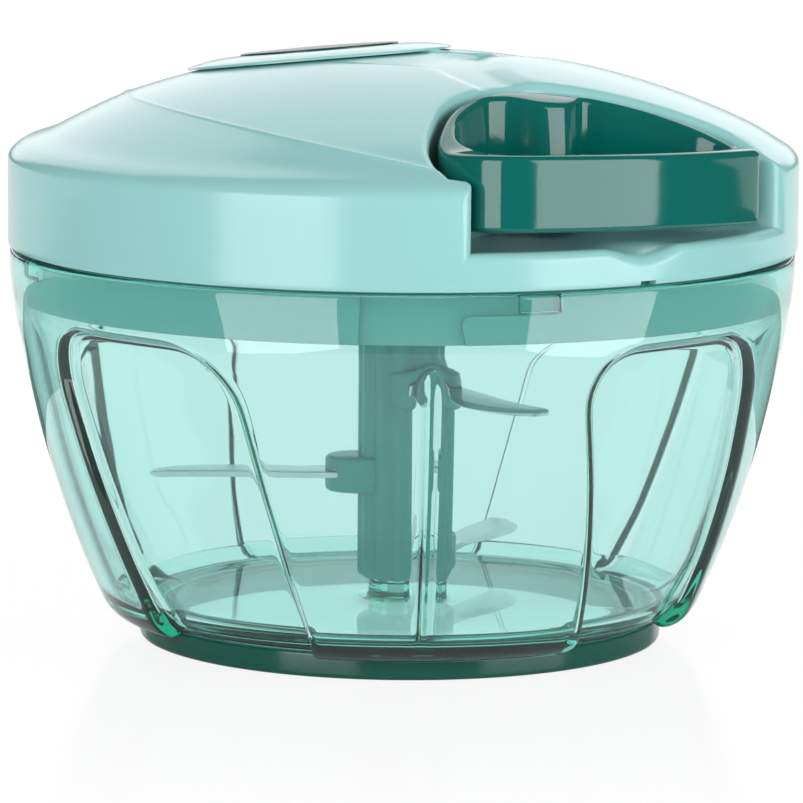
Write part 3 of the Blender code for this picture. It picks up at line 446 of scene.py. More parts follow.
def polar(radius, azimuth, z=0.0):
    # Azimuth 0 is the front, -Y, and grows towards +X.
    angle = math.radians(azimuth)
    return (radius * math.sin(angle), -radius * math.cos(angle), z)


def arc(radius, start, end, count):
    return [polar(radius, azimuth)[:2] for azimuth in np.linspace(start, end, count)]


def inside_distance(x, y, outline):
    """How far each place lies inside a closed outline, negative outside it."""
    starts = np.array(outline, float)
    edges = np.roll(starts, -1, 0) - starts
    rel_x = x[..., None] - starts[:, 0]
    rel_y = y[..., None] - starts[:, 1]
    share = np.clip((rel_x * edges[:, 0] + rel_y * edges[:, 1]) / (edges ** 2).sum(1), 0.0, 1.0)
    gap = np.hypot(rel_x - share * edges[:, 0], rel_y - share * edges[:, 1]).min(-1)
    above = (rel_y < 0) != (rel_y - edges[:, 1] < 0)
    rise = np.where(np.abs(edges[:, 1]) < 1e-9, 1e-9, edges[:, 1])
    crossing = above & (rel_x < rel_y / rise * edges[:, 0])
    return np.where(crossing.sum(-1) % 2 == 1, gap, -gap)


def eased(value):
    share = np.clip(value, 0.0, 1.0)
    return share * share * (3.0 - 2.0 * share)


def soft_least(first, second, blend):
    share = np.clip(0.5 + 0.5 * (second - first) / blend, 0.0, 1.0)
    return second + (first - second) * share - blend * share * (1.0 - share)


def dome_z(x, y):
    radius = np.hypot(x, y)
    outside = np.maximum(0.0, np.hypot(x - CREASE_X, y - CREASE_Y) - CREASE_R)
    fade = np.clip((DOME_R - radius) / CREASE_FADE, 0.0, 1.0)
    fall = np.minimum(CREASE_DROP, CREASE_SLOPE * outside) * fade
    return DOME_EDGE + DOME_RISE * (1.0 - (radius / DOME_R) ** DOME_POWER) - fall


def skin_z(x, y):
    """The lid's top with its mound behind the handle and the valley beside it."""
    near_edge = np.clip((DOME_R - np.hypot(x, y)) / 6.0, 0.0, 1.0)
    off_badge = eased((np.hypot(x - BADGE_X, y - BADGE_Y) - BADGE_R - 0.3) / 4.0)
    swell = sizes().mound * eased((inside_distance(x, y, MOUND) + 0.4) / 3.2) * eased(near_edge)
    sink = sizes().valley * eased((inside_distance(x, y, VALLEY) + 0.6) / 2.2) * off_badge
    off = np.hypot(x - CREASE_X, y - CREASE_Y) - CREASE_R
    bead = BEAD_HEIGHT * np.exp(-(off / BEAD_HALF) ** 2) * near_edge
    return dome_z(x, y) + swell - sink + bead


def skin_top(x, y):
    """The lid's top out to its wall, with the rounded shoulder."""
    radius = np.maximum(1e-6, np.hypot(x, y))
    out = np.clip(radius, SHOULDER_R, LID_R)
    edge = skin_z(x * SHOULDER_R / radius, y * SHOULDER_R / radius)
    share = np.sqrt((LID_R - out) / (LID_R - SHOULDER_R))
    shoulder = bezier(share, WALL_TOP, edge - SHOULDER_FALL * (LID_R - SHOULDER_R), edge)
    return np.where(radius > SHOULDER_R, shoulder, skin_z(x, y))


def lid_skin():
    angle = full_turn(320)
    middle = np.sin(angle) * CREASE_X - np.cos(angle) * CREASE_Y
    crease = middle + np.sqrt(middle ** 2 - CREASE_X ** 2 - CREASE_Y ** 2 + CREASE_R ** 2)
    crease = np.minimum(crease, CREASE_END)
    rows = [around(angle, radius, z) for radius, z in (
        (0.0, LID_LOW), (30.0, LID_LOW), (61.2, LID_LOW), (61.6, LID_LOW), (61.86, LID_LOW + 0.12),
        (LID_R, LID_LOW + 0.4), (LID_R, LID_LOW + 1.0), (LID_R, 66.0), (LID_R, 69.0), (LID_R, 72.0),
    )]
    edge = around(angle, SHOULDER_R, skin_z)[:, 2]
    corner = edge - SHOULDER_FALL * (LID_R - SHOULDER_R)
    for share in np.linspace(0.0, 1.0, 10):
        radius = bezier(share, LID_R, LID_R, SHOULDER_R)
        rows.append(around(angle, radius, bezier(share, WALL_TOP, corner, edge)))
    radii = [SHOULDER_R + (crease + CREASE_BAND - SHOULDER_R) * s for s in np.linspace(0.0, 1.0, 9)[1:-1]]
    radii += [crease + off for off in (0.7, 0.5, 0.36, 0.24, 0.12, 0.0, -0.12, -0.24, -0.36, -0.5, -0.7)]
    radii += [(crease - CREASE_BAND) * share ** 0.9 for share in np.linspace(1.0, 0.0, 46)[1:]]
    return weld(laid("lid_shell", rows + [around(angle, radius, skin_z) for radius in radii]))


def pocket_path():
    """The pocket's outline, clockwise. Its mouths are rounded into the lid's wall, and it closes outside."""
    angles = np.radians(np.linspace(-76.0, 56.0, 14))
    left_mouth = [(MOUTH_X + MOUTH_R * math.cos(a), MOUTH_Y + MOUTH_R * math.sin(a)) for a in angles]
    right_mouth = rounded(RIGHT_MOUTH, 12)[1:-1]
    inner = [tuple(p) for p in curve_through(POCKET_LEFT, 0.6)]
    tail_left = polar(LID_R + 0.3, 6.3)[:2]
    tail_right = (right_mouth[-1][0] + 0.3, right_mouth[-1][1] + 0.75)
    start, end = (math.degrees(math.atan2(x, -y)) for x, y in (tail_left, tail_right))
    outside = arc(76.0, end + 0.2, start - 0.2, 40)
    return np.array(inner + right_mouth + [tail_right] + outside + [tail_left] + left_mouth)


def pocket_floor(x, y):
    forward = polar(1.0, DIP_AZ)
    out = x * forward[0] + y * forward[1]
    side = x * forward[1] - y * forward[0]
    dip = DIP_LOW + DIP_SLOPE * (LID_R - out) + side ** 2 / (2.0 * DIP_R)
    flat = soft_least(np.full_like(dip, POCKET_FLOOR), dip, 1.4)
    radius = np.hypot(x, y)
    reach = np.clip(radius - (LID_R - LEDGE_ROUND), 0.0, 0.985 * LEDGE_ROUND)
    # Left of the dip the floor sinks behind its edge, so the gap under the handle is dark.
    sunk = POCKET_SUNK * eased((LID_R - 2.8 - radius) / 1.4) * eased((31.0 - x) / 6.0)
    return flat - sunk - LEDGE_ROUND + np.sqrt(LEDGE_ROUND ** 2 - reach ** 2)


def floor_block():
    """All that lies above the pocket's floor: its underside carries the rounded ledge and the dip."""
    angle = np.radians(np.linspace(-8.0, 88.0, 193))
    inner = np.concatenate(((6.0,), np.linspace(12.0, 57.0, 46), np.linspace(57.5, 60.0, 8)))
    edge = LID_R - LEDGE_ROUND + LEDGE_ROUND * np.sin(np.radians(np.linspace(0.0, 80.0, 16)))
    radii = np.concatenate((inner, edge, (LID_R - 0.015 * LEDGE_ROUND,)))
    rows = [around(angle, radius, pocket_floor) for radius in radii]
    low = rows[-1][:, 2] - 0.9
    for radius, height in ((LID_R + 0.1, low), (80.0, low), (80.0, TOOL_HIGH + 1.0), (6.0, TOOL_HIGH + 1.0)):
        rows.append(around(angle, radius, height))
    return capped(weld(laid("floor_block", rows + rows[:1])))


def capped(piece):
    """Fills the open ends of a sheet that was laid as a tube."""
    edit(piece)
    bpy.ops.mesh.select_mode(type="EDGE")
    bpy.ops.mesh.select_all(action="DESELECT")
    bpy.ops.mesh.select_non_manifold()
    bpy.ops.mesh.edge_face_add()
    outward()
    return piece


def pocket_tool():
    path = pocket_path()
    x = path[:, 0]
    y = path[:, 1]
    tangent = unit(unit(np.roll(path, -1, 0) - path) + unit(path - np.roll(path, 1, 0)))
    # The path runs clockwise seen from above, so its outward side is on its left.
    outward_x = -tangent[:, 1]
    outward_y = tangent[:, 0]
    lip = sizes().lip * np.clip((61.0 - np.hypot(x, y)) / 2.5, 0.3, 1.0)
    lip *= 1.0 - np.clip((np.hypot(x, y) - LID_R) / 0.3, 0.0, 1.0)

    def pushed(out, height):
        return row(x + outward_x * out * lip, y + outward_y * out * lip, height)

    profile = [(LIP_OUT, -0.14)] + rounding(1.0, (80.0, 68.0, 56.0, 44.0, 32.0, 20.0, 10.0, 0.0))
    fan_x = np.full_like(x, POCKET_FAN[0])
    fan_y = np.full_like(x, POCKET_FAN[1])
    rows = [row(fan_x, fan_y, TOOL_HIGH), pushed(LIP_OUT, TOOL_HIGH)]
    rows += [pushed(out, lambda px, py, d=depth: skin_top(px, py) - d * lip) for out, depth in profile]
    rows += [row(x, y, TOOL_LOW), row(fan_x, fan_y, TOOL_LOW)]
    places = np.array(rows)
    tool = weld(laid("pocket_tool", np.concatenate((places, places[:, :1]), 1)))
    return cut(tool, floor_block(), "INTERSECT")


def at_screws(piece, radius, low, high, steps):
    for place in SCREWS:
        cut(piece, rod("hole", radius, low, high, steps, polar(*place)[:2]))


def lid_cavity():
    inside = LID_R - LID_WALL
    angle = full_turn(96)

    def under(x, y):
        return dome_z(x, y) - LID_WALL - 0.4

    rows = [around(angle, radius, z) for radius, z in (
        (0.0, LID_LOW - 2), (inside, LID_LOW - 2), (inside, WALL_TOP - 0.8), (inside - 1.4, 76.9),
        (56.5, under), (52.0, under), (44.0, under), (34.0, under), (22.0, under), (10.0, under),
        (0.0, under),
    )]
    cavity = weld(laid("cavity", rows))
    cut(cavity, slab("thick", POCKET_WALL, POCKET_FLOOR - 2.4, CUT_HIGH))
    at_screws(cavity, 3.3, PLATE_HIGH + 0.1, CUT_HIGH, 24)
    return cut(cavity, rod("stub", 4.0, 88.0, CUT_HIGH, 24))


def cord_place(along):
    forward = polar(1.0, PULL_AZ)
    return (CORD_BACK[0] + forward[0] * along, CORD_BACK[1] + forward[1] * along, CORD_Z)


def cord_rod(name, radius, start, end):
    piece = rod(name, radius, start, end, 24)
    turn = Vector(polar(1.0, PULL_AZ)).to_track_quat("Z", "Y").to_matrix().to_4x4()
    piece.data.transform(Matrix.Translation(Vector(cord_place(0.0)) * MM) @ turn)
    return piece


def badge_rows(name, rows):
    centre = (BADGE_X, BADGE_Y)
    return sheet(name, [round_row(centre, radius, full_turn(144), height) for radius, height in rows], 40.0)


def over_dome(rise):
    return lambda x, y: dome_z(x, y) + rise


def mark_seams(piece, tool_slot):
    """Hard shading edges where faces of different slots meet, so each side keeps its own smooth normals."""
    mesh = piece.data

    def read(data, key, kind=int):
        values = np.zeros(len(data), kind)
        data.foreach_get(key, values)
        return values

    owner = np.repeat(read(mesh.polygons, "material_index"), read(mesh.polygons, "loop_total"))
    edge_of = read(mesh.loops, "edge_index")
    low = np.full(len(mesh.edges), 99)
    high = np.full(len(mesh.edges), -1)
    np.minimum.at(low, edge_of, owner)
    np.maximum.at(high, edge_of, owner)
    sharp = mesh.attributes.get("sharp_edge") or mesh.attributes.new("sharp_edge", "BOOLEAN", "EDGE")
    split = (high == tool_slot) & (low != high)
    sharp.data.foreach_set("value", read(sharp.data, "value", bool) | split)
    mesh.update()


def lid_shell():
    skin = lid_skin()
    outer = bpy.data.materials.new("outer skin")
    inner = bpy.data.materials.new("cut skin")
    skin.data.materials.append(outer)
    cut(skin, lid_cavity())
    tool = pocket_tool()
    tool.data.materials.append(inner)
    cut(skin, tool)
    sides = (NOTCH_AZ - NOTCH_HALF, NOTCH_AZ + NOTCH_HALF)
    outline = arc(LID_R - 3.0, *sides, 4) + arc(LID_R + 1.0, *sides[::-1], 4)
    cut(skin, slab("notch", outline, LID_LOW - 1.0, 62.8))
    at_screws(skin, 1.5, PLATE_HIGH - 1.0, 74.0, 20)
    cut(skin, rod("hole", 1.6, 80.0, 90.3, 24))
    cut(skin, cord_rod("eye", 2.7, -6.0, 2.0))
    shaded(skin, 38.0)
    mark_seams(skin, 1)
    skin.data.materials.clear()
    bpy.data.materials.remove(outer)
    bpy.data.materials.remove(inner)
    return skin


def badge_plane(x, y):
    slope_x = (dome_z(BADGE_X + 1, BADGE_Y) - dome_z(BADGE_X - 1, BADGE_Y)) / 2.0
    slope_y = (dome_z(BADGE_X, BADGE_Y + 1) - dome_z(BADGE_X, BADGE_Y - 1)) / 2.0
    return dome_z(BADGE_X, BADGE_Y) + slope_x * (x - BADGE_X) + slope_y * (y - BADGE_Y)


def badge_ring():
    hole = INLAY_R + 0.3

    def crown(share, drop=0.0):
        return lambda x, y: (1 - share) * (dome_z(x, y) + 0.7) + share * (badge_plane(x, y) + 0.15) - drop

    rows = [(hole + (BADGE_R - hole) * s, over_dome(0.3)) for s in np.linspace(0.0, 1.0, 8)]
    rows.append((BADGE_R, over_dome(0.45)))
    for inset, drop in rounding(BADGE_ROUND, (10.0, 28.0, 46.0, 64.0, 80.0)):
        rows.append((BADGE_R - inset, crown(0.0, drop)))
    for share in np.linspace(0.02, 0.97, 16):
        rows.append((BADGE_R - BADGE_ROUND + (hole - BADGE_R + BADGE_ROUND) * share, crown(share)))
    rows += [(hole + 0.05, crown(0.99, 0.04)), (hole, crown(1.0, 0.15)), rows[0]]
    return badge_rows("badge_ring", rows)


def badge_centre():
    def raised(rise):
        return lambda x, y: badge_plane(x, y) + rise

    rows = [(INLAY_R * share, over_dome(0.3)) for share in (0.0, 0.3, 0.6, 0.85, 1.0)]
    for inset, drop in rounding(INLAY_ROUND, (0.0, 20.0, 40.0, 60.0, 78.0)):
        rows.append((INLAY_R - inset, raised(0.5 - drop)))
    rows += [(INLAY_R * share, raised(0.75 - 0.25 * share ** 2)) for share in np.linspace(0.96, 0.0, 14)]
    return badge_rows("badge_centre", rows)


def cut_corners(path):
    path = np.array(path, float)
    for _ in range(2):
        after = np.roll(path, -1, 0)
        path = np.stack((0.75 * path + 0.25 * after, 0.25 * path + 0.75 * after), 1).reshape(-1, 2)
    return path


def reach_of(path, centre, angles):
    """How far a closed outline lies from its centre at each angle."""
    rel = cut_corners(path) - np.array(centre)
    bearing = np.arctan2(rel[:, 1], rel[:, 0])
    return np.interp(angles, bearing, np.hypot(rel[:, 0], rel[:, 1]), period=2.0 * math.pi)


def handle_top(x, y):
    front = 82.3 - 0.058 * (y + 61.0)
    back = dome_z(x, y) - 0.4
    return 0.5 * (front + back + np.sqrt((front - back) ** 2 + 1.0))


def handle():
    angles = full_turn(440)
    out = reach_of(HANDLE_OUTER + arc(LID_R, 60.3, 18.2, 54), HANDLE_CENTRE, angles)
    into = reach_of(HANDLE_INNER + arc(LID_R - 4.5, 57.0, 14.5, 50), HANDLE_CENTRE, angles)
    limit = 0.42 * (out - into)

    def quarter(radius, count):
        return rounding(radius, np.linspace(0.0, 90.0, count))

    section = [("out", b, "low", a) for a, b in quarter(0.9, 6)]
    section += [("out", 0.0, "mix", share) for share in (0.25, 0.5, 0.75)]
    section += [("out", a, "high", b) for a, b in quarter(1.1, 7)]
    section += [("in", b, "high", a) for a, b in quarter(1.0, 7)]
    section += [("in", 0.0, "mix", share) for share in (0.75, 0.5, 0.25)]
    section += [("in", a, "low", b) for a, b in quarter(0.7, 5)]
    rows = []
    # The inner face leans, so the loop opens upwards behind the fingers.
    lean = np.minimum(HANDLE_LEAN, 0.2 * (out - into))
    lean *= eased((HANDLE_CENTRE[1] + into * np.sin(angles) + 48.0) / 8.0)
    for side, inset, level, drop in section + section[:1]:
        if side == "out":
            reach = out - np.minimum(inset, limit)
        else:
            rise = {"low": -1.0, "high": 1.0}.get(level, 2.0 * drop - 1.0)
            reach = into + np.minimum(inset, limit) + lean * rise

        def height(x, y):
            low = 70.9 - 0.053 * (y + 61.0)
            high = handle_top(x, y)
            return {"low": low + drop, "high": high - drop}.get(level, low + (high - low) * drop)

        rows.append(round_row(HANDLE_CENTRE, reach, angles, height))
    piece = weld(laid("handle", rows))
    cut(piece, cord_rod("hole", 1.3, -3.0, KNOT_AT))
    cut(piece, cord_rod("seat", 2.3, KNOT_AT - 2.3, KNOT_AT + 5.0))
    return shaded(piece, 40.0)


# Shares up the wall, across a panel, and from a rib to a panel's edge.
UP = np.linspace(0.0, 1.0, 19)
ACROSS = np.concatenate(((-1.0, -0.95), np.linspace(-0.86, 0.86, 15), (0.95, 1.0)))
SIDE = np.array((0.0, 0.03, 0.06, 0.2, 0.4, 0.6, 0.8, 0.93, 1.0))
STEPS = (-0.45, -0.1, 0.25, 0.6, 0.95, 1.3)
RIB_SHAPE = np.array((1.0, 0.85) + (0.0,) * (len(SIDE) - 2))


def arch_form(grow):
    """Corner radius, half width in degrees and cut back of the arch's outline, grown by a step."""
    corner = PANEL_CORNER_R + grow
    return corner, PANEL_HALF + grow * MM_TO_DEGREES, corner * (1.0 - math.sqrt(0.5))


def arch_top(across, grow):
    corner, half, cut_back = arch_form(grow)
    reach = (half - cut_back * MM_TO_DEGREES) * across
    inset = (half - np.abs(reach)) / MM_TO_DEGREES
    rise = np.sqrt(np.maximum(0.0, corner ** 2 - (corner - inset) ** 2))
    fall = np.where(inset < corner, corner - rise, 0.0)
    return np.stack((reach, PANEL_TOP + grow - 0.5 * (reach / half) ** 2 - fall), -1)


def arch_side(up, side, grow):
    corner, half, cut_back = arch_form(grow)
    end = arch_top(np.array(1.0), grow)[1]
    z = BOWL_LOW + (end - BOWL_LOW) * up
    above = np.maximum(0.0, z - (end + cut_back - corner))
    inset = corner - np.sqrt(np.maximum(0.0, corner ** 2 - above ** 2))
    return np.stack((side * (half - inset * MM_TO_DEGREES), z), -1)


def twisted(points):
    made = points.copy()
    made[..., 0] += PANEL_TWIST * (PANEL_MID_Z - points[..., 1])
    return made


def arch_patches():
    """One quarter of the bowl's skin as patches of (azimuth, z, panel share, rib share)."""
    def shares(points, panel, rib=0.0):
        wide = [np.broadcast_to(share, points.shape[:-1])[..., None] for share in (panel, rib)]
        return np.concatenate([points] + wide, -1)

    inner = STEPS[0]
    outer = STEPS[-1]
    u = UP[:, None, None]
    s = ((ACROSS + 1.0) / 2.0)[None, :, None]
    left = arch_side(UP, -1.0, inner)[:, None]
    right = arch_side(UP, 1.0, inner)[:, None]
    bottom = arch_side(np.zeros(1), 1.0, inner) * np.stack((ACROSS, np.ones_like(ACROSS)), -1)[None]
    top = arch_top(ACROSS, inner)[None]
    corners = (1 - u) * ((1 - s) * left[0] + s * right[0]) + u * ((1 - s) * top[:, :1] + s * top[:, -1:])
    panel = (1 - s) * left + s * right + (1 - u) * bottom + u * top - corners
    patches = {"panel": shares(twisted(panel), 1.0)}
    strips = []
    for i, grow in enumerate(STEPS):
        path = np.concatenate((
            arch_side(UP, -1.0, grow), arch_top(ACROSS, grow)[1:-1], arch_side(UP, 1.0, grow)[::-1],
        ))
        strips.append(shares(twisted(path), 1.0 - eased(i / (len(STEPS) - 1))))
    patches["strip"] = np.array(strips)

    rib_fade = 1.0 - eased((UP * 45.0 + BOWL_LOW - 46.5) / 2.4)
    levels = BOWL_LOW + (PANEL_TOP + 0.6 - BOWL_LOW) * UP
    spread = SIDE[:, None]
    for name, start, side in (("left", RIB_AZ - 90.0 - PANEL_AZ, -1.0), ("right", RIB_AZ - PANEL_AZ, 1.0)):
        edge = twisted(arch_side(UP, side, outer))[:, None]
        rib_line = np.stack((np.full_like(UP, start), levels), -1)[:, None]
        patches[name] = shares(rib_line * (1 - spread) + edge * spread, 0.0, rib_fade[:, None] * RIB_SHAPE)
    crest = np.concatenate((
        patches["left"][-1][:, :2], twisted(arch_top(ACROSS, outer))[1:-1], patches["right"][-1][::-1][:, :2],
    ))
    above = []
    for share in np.linspace(0.0, 1.0, 4):
        line = crest.copy()
        line[:, 1] = crest[:, 1] * (1 - share) + RIM_LOW * share
        above.append(shares(line, 0.0))
    patches["above"] = np.array(above)
    patches["bottom"] = np.concatenate((
        patches["left"][0], patches["strip"][::-1, 0][1:], patches["panel"][0][1:], patches["strip"][1:, -1],
        patches["right"][0][::-1][1:],
    ))
    return patches


def bowl_radius(z):
    return np.interp(z, BOWL_HEIGHTS, BOWL_RADII)


def full_turn(columns):
    return np.linspace(0.0, 2.0 * math.pi, columns + 1)


def rounding(radius, degrees):
    """How far a rounded edge is set in and drops, at given angles from its side."""
    turns = np.radians(degrees)
    return [(radius * (1.0 - math.cos(turn)), radius * (1.0 - math.sin(turn))) for turn in turns]


def around(angle, radius, height):
    """Places round the axis, at angles in radians from the front."""
    return row(radius * np.sin(angle), -radius * np.cos(angle), height)


def round_row(centre, radius, angle, height):
    """Places round a centre, at angles in radians from +X."""
    return row(centre[0] + radius * np.cos(angle), centre[1] + radius * np.sin(angle), height)


def bowl():
    patches = arch_patches()
    low = patches["bottom"]

    def at(patch, radius, z):
        return around(np.radians(patch[..., 0] + PANEL_AZ), radius, z)

    def depth(z):
        return np.interp(z, (BOWL_LOW, 16.0), (3.1 / 1.8 * sizes().panel_depth, sizes().panel_depth))

    def outer(patch):
        z = patch[..., 1]
        return at(patch, bowl_radius(z) - patch[..., 2] * depth(z), z)

    def inner(patch):
        z = patch[..., 1]
        wall = np.minimum(RIM_INNER_R, bowl_radius(z) - BOWL_WALL)
        return at(patch, wall - patch[..., 2] * depth(z) - patch[..., 3] * RIB_HEIGHT, z)

    def closed(first, plain, pressed, rib, rings):
        """Rows that go from a wall's lower edge over the arches' feet to plain rings."""
        rows = [first]
        for (r0, z0), (r1, z1) in zip(plain, pressed):
            panel = low[:, 2]
            rows.append(at(low, r0 + (r1 - r0) * panel - rib * low[:, 3], z0 + (z1 - z0) * panel))
        return rows + [at(low, radius, z) for radius, z in rings]

    sheets = []
    for name in ("panel", "strip", "left", "right", "above"):
        sheets += [outer(patches[name]), inner(patches[name])]
    rim = [(bowl_radius(RIM_LOW), RIM_LOW)] + RIM
    sheets.append([at(patches["above"][-1], radius, z) for radius, z in rim])
    sheets.append(closed(outer(low), FOOT_PLAIN, FOOT_PRESSED, 0.0, FOOT_RINGS))
    sheets.append(closed(inner(low), HEEL_PLAIN, HEEL_PRESSED, 0.8, HEEL_RINGS))
    quarter = weld(joined("quarter", [laid("sheet", rows) for rows in sheets]), 0.004)
    others = [copied(quarter, 90.0 * k) for k in (1, 2, 3)]
    piece = weld(joined("bowl_shell", [quarter] + others), 0.004)
    modified(piece, "SUBSURF", levels=1, render_levels=1)
    for k in range(4):
        azimuth = LUG_AZ + 90.0 * k
        outline = arc(57.4, azimuth - LUG_HALF, azimuth + LUG_HALF, 9)
        outline += arc(59.6, azimuth + LUG_HALF + 0.4, azimuth - LUG_HALF - 0.4, 9)
        cut(piece, softened(slab("lug", outline, 58.6, 60.9), 0.5, 50.0), "UNION")
    return shaded(piece, 50.0)


def foot_ring():
    profile = rounded([
        (34.5, 0.0, 0.5), (41.2, 0.0, 0.9), (41.2, 3.9, 0.45), (39.9, 3.9, 0.2), (39.9, 1.2, 0.15),
        (34.5, 1.2, 0.4),
    ], 5)
    return shaded(turned("foot_ring", profile, 192), 40.0)


def seal():
    low = RIM_TOP + 0.1
    high = PLATE_LOW - 0.1
    profile = rounded([
        (58.8, low, 0.3), (59.3, low, 0.2), (59.5, low + 0.35, 0.2), (59.7, low, 0.2), (60.0, low, 0.25),
        (60.0, low + 0.9, 0.2), (59.75, low + 1.0, 0.15), (60.0, low + 1.15, 0.2), (60.0, high, 0.25),
        (58.8, high, 0.25),
    ], 3)
    return shaded(turned("seal", profile, 160), 50.0)


def inner_plate():
    bore = 6.6
    profile = rounded([
        (bore, 57.0, 0.2), (9.5, 57.0, 0.4), (9.5, PLATE_LOW, 0.4), (SKIRT_INNER_R, PLATE_LOW, 0.5),
        (SKIRT_INNER_R, SKIRT_LOW, 0.5), (SKIRT_R, SKIRT_LOW, 0.5), (SKIRT_R, PLATE_LOW, 0.2),
        (PLATE_R, PLATE_LOW, 0.2), (PLATE_R, PLATE_HIGH, 0.3), (9.5, PLATE_HIGH, 0.4), (9.5, 67.9, 0.3),
        (bore, 67.9, 0.2),
    ], 4)
    piece = turned("inner_plate", profile, 200)
    outline = rounded([
        (-6.4, SKIRT_LOW - 1.0, 0), (9.5, SKIRT_LOW - 1.0, 0), (8.3, 58.3, 1.5), (23.5, 58.3, 1.2),
        (23.5, 61.4, 1.2), (-6.0, 61.4, 1.0),
    ], 6)
    for k in range(4):
        groove = slab("groove", outline, GROOVE_R, SKIRT_R + 1.2)
        bend(groove, 90.0 * k)
        cut(piece, groove)
    at_screws(piece, 1.7, PLATE_LOW - 1.0, PLATE_HIGH + 1.0, 20)
    return shaded(piece, 35.0)


def bend(piece, turn):
    """Wraps a flat slab round the z axis: its x is an azimuth, its y a height and its z a radius."""
    edit(piece)
    bpy.ops.mesh.subdivide(number_cuts=4)
    bpy.ops.object.mode_set(mode="OBJECT")
    for vertex in piece.data.vertices:
        azimuth, z, radius = vertex.co / MM
        vertex.co = Vector(polar(radius, azimuth + turn, z)) * MM
    edit(piece)
    bpy.ops.mesh.quads_convert_to_tris()
    outward()


def shaft():
    angle = full_turn(144)
    flute = 0.35 * (1.0 - np.cos(12.0 * angle)) ** 1.6 / 1.52
    rows = []
    for inset, z in (
        (SHAFT_R, SHAFT_LOW), (1.4, SHAFT_LOW), (0.6, SHAFT_LOW + 0.15), (0.15, SHAFT_LOW + 0.5),
        (0.0, SHAFT_LOW + 1.0), (0.0, 20.0), (0.0, 33.0), (0.0, 46.0), (0.0, SHAFT_HIGH - 0.9),
        (0.15, SHAFT_HIGH - 0.4), (0.5, SHAFT_HIGH - 0.1), (1.0, SHAFT_HIGH), (SHAFT_R, SHAFT_HIGH),
    ):
        radius = (SHAFT_R - inset) - flute * min(1.0, (SHAFT_R - inset) / 5.0)
        rows.append(round_row((0.0, 0.0), np.maximum(0.0, radius), angle, z))
    piece = weld(laid("shaft", rows))
    lobe = [(0.0, -LOBE_HALF)]
    for turn in np.radians(range(-90, 91, 12)):
        lobe.append((LOBE_R - LOBE_HALF + LOBE_HALF * math.cos(turn), LOBE_HALF * math.sin(turn)))
    lobe.append((0.0, LOBE_HALF))
    for height, az, _ in BLADES:
        block = softened(slab("lobe", lobe, height - 2.8, height + 2.8), 0.7, 60.0)
        cut(piece, spun(block, az - 90.0), "UNION")
    cut(piece, rod("bore", 3.8, SHAFT_LOW - 1.0, 24.8, 48))
    cut(piece, rod("socket", 5.3, 45.5, SHAFT_HIGH + 1.0, 48))
    for height, az, _ in BLADES:
        slot = slab("slot", [(6.4, -3.6), (16.0, -3.6), (16.0, 3.6), (6.4, 3.6)], height - 0.6, height + 0.6)
        cut(piece, spun(slot, az - 90.0))
    return shaded(piece, 38.0)


def blade(number, height, az, reach):
    """A flat blade whose belly is ground to a cutting edge, from the shaft to its rounded tip."""
    def side(root, line):
        return resampled(curve_through(root + [(share * reach, y) for share, y in line], 0.6), 60)

    belly = side([(6.5, -3.5), (12.5, -3.5)], BELLY)
    back = side([(6.5, 3.5), (12.5, 3.5)], BACK)
    ground = eased((belly[:, 0] - 13.0) / 4.0)
    taper = np.minimum(1.0, np.linspace(1.0, 0.0, 60) * 12.0 + 0.25)
    rows = []
    for share, half in (
        (0.0, None), (0.08, None), (0.2, 0.49), (0.26, 0.5), (0.6, 0.5), (0.96, 0.5), (1.0, 0.42),
    ):
        line = belly * (1 - share) + back * share
        thick = half or 0.5 * (1 - ground) + (0.05 + 0.44 * share / 0.2) * ground
        rows.append(row(line[:, 0], line[:, 1], thick * taper))
    rows += [half_row * np.array((1.0, 1.0, -1.0)) for half_row in rows[::-1]]
    piece = capped(weld(laid(f"cutter_{number}", rows + rows[:1]), 0.01))
    place = Matrix.Translation((0, 0, height * MM)) @ Matrix.Rotation(math.radians(az - 90.0), 4, "Z")
    piece.data.transform(place)
    return shaded(piece, 25.0)


def tube(path, forward, beside, angle, radius):
    """Rows of places round a path, whose radius is given at each angle."""
    forward = unit(forward)
    side = unit(np.cross(forward, beside))[:, None]
    up = np.cross(side, forward[:, None])
    across = (radius * np.cos(angle))[..., None]
    along = (radius * np.sin(angle))[..., None]
    return path[:, None] + side * across + up * along


def resampled(path, count):
    run = run_of(path)
    places = np.linspace(0.0, run[-1], count)
    return np.stack([np.interp(places, run, path[:, k]) for k in range(path.shape[1])], 1)


def rope(name, path, radius, turns_per_mm=0.16, steps=24):
    """A laid cord along a path: a tube whose section has one bulge for each strand, turning as it goes."""
    angle = full_turn(steps)
    lay = 2.0 * math.pi * turns_per_mm * run_of(path)[:, None]
    bulge = radius * (1.0 - 0.14 * (1.0 - np.abs(np.cos(0.5 * sizes().strands * (angle - lay)))))
    rows = tube(path, np.gradient(path, axis=0), (0.0, 0.0, 1.0), angle, bulge)
    ends = np.repeat(path[[0, -1]][:, None], steps + 1, 1)
    return sheet(name, np.concatenate((ends[:1], rows, ends[1:])), 60.0)


def pull_cord():
    bend_place = np.array(cord_place(-5.6))
    lead = WINDING_R + CORD_R + 0.3
    bearing = math.atan2(bend_place[1], bend_place[0]) - math.acos(lead / math.hypot(*bend_place[:2]))
    leave = np.array((lead * math.cos(bearing), lead * math.sin(bearing), CORD_Z))
    ahead = np.array(polar(1.0, PULL_AZ))
    inward = unit(leave - bend_place)
    marks = [leave, bend_place + inward * 3.0, bend_place + inward * 1.4 + ahead * 0.25,
             bend_place + ahead * 0.5 + inward * 0.45, bend_place + ahead * 1.5, cord_place(KNOT_AT - 2.4)]
    return rope("cord", curve_through(marks, 0.3), CORD_R * 0.98)


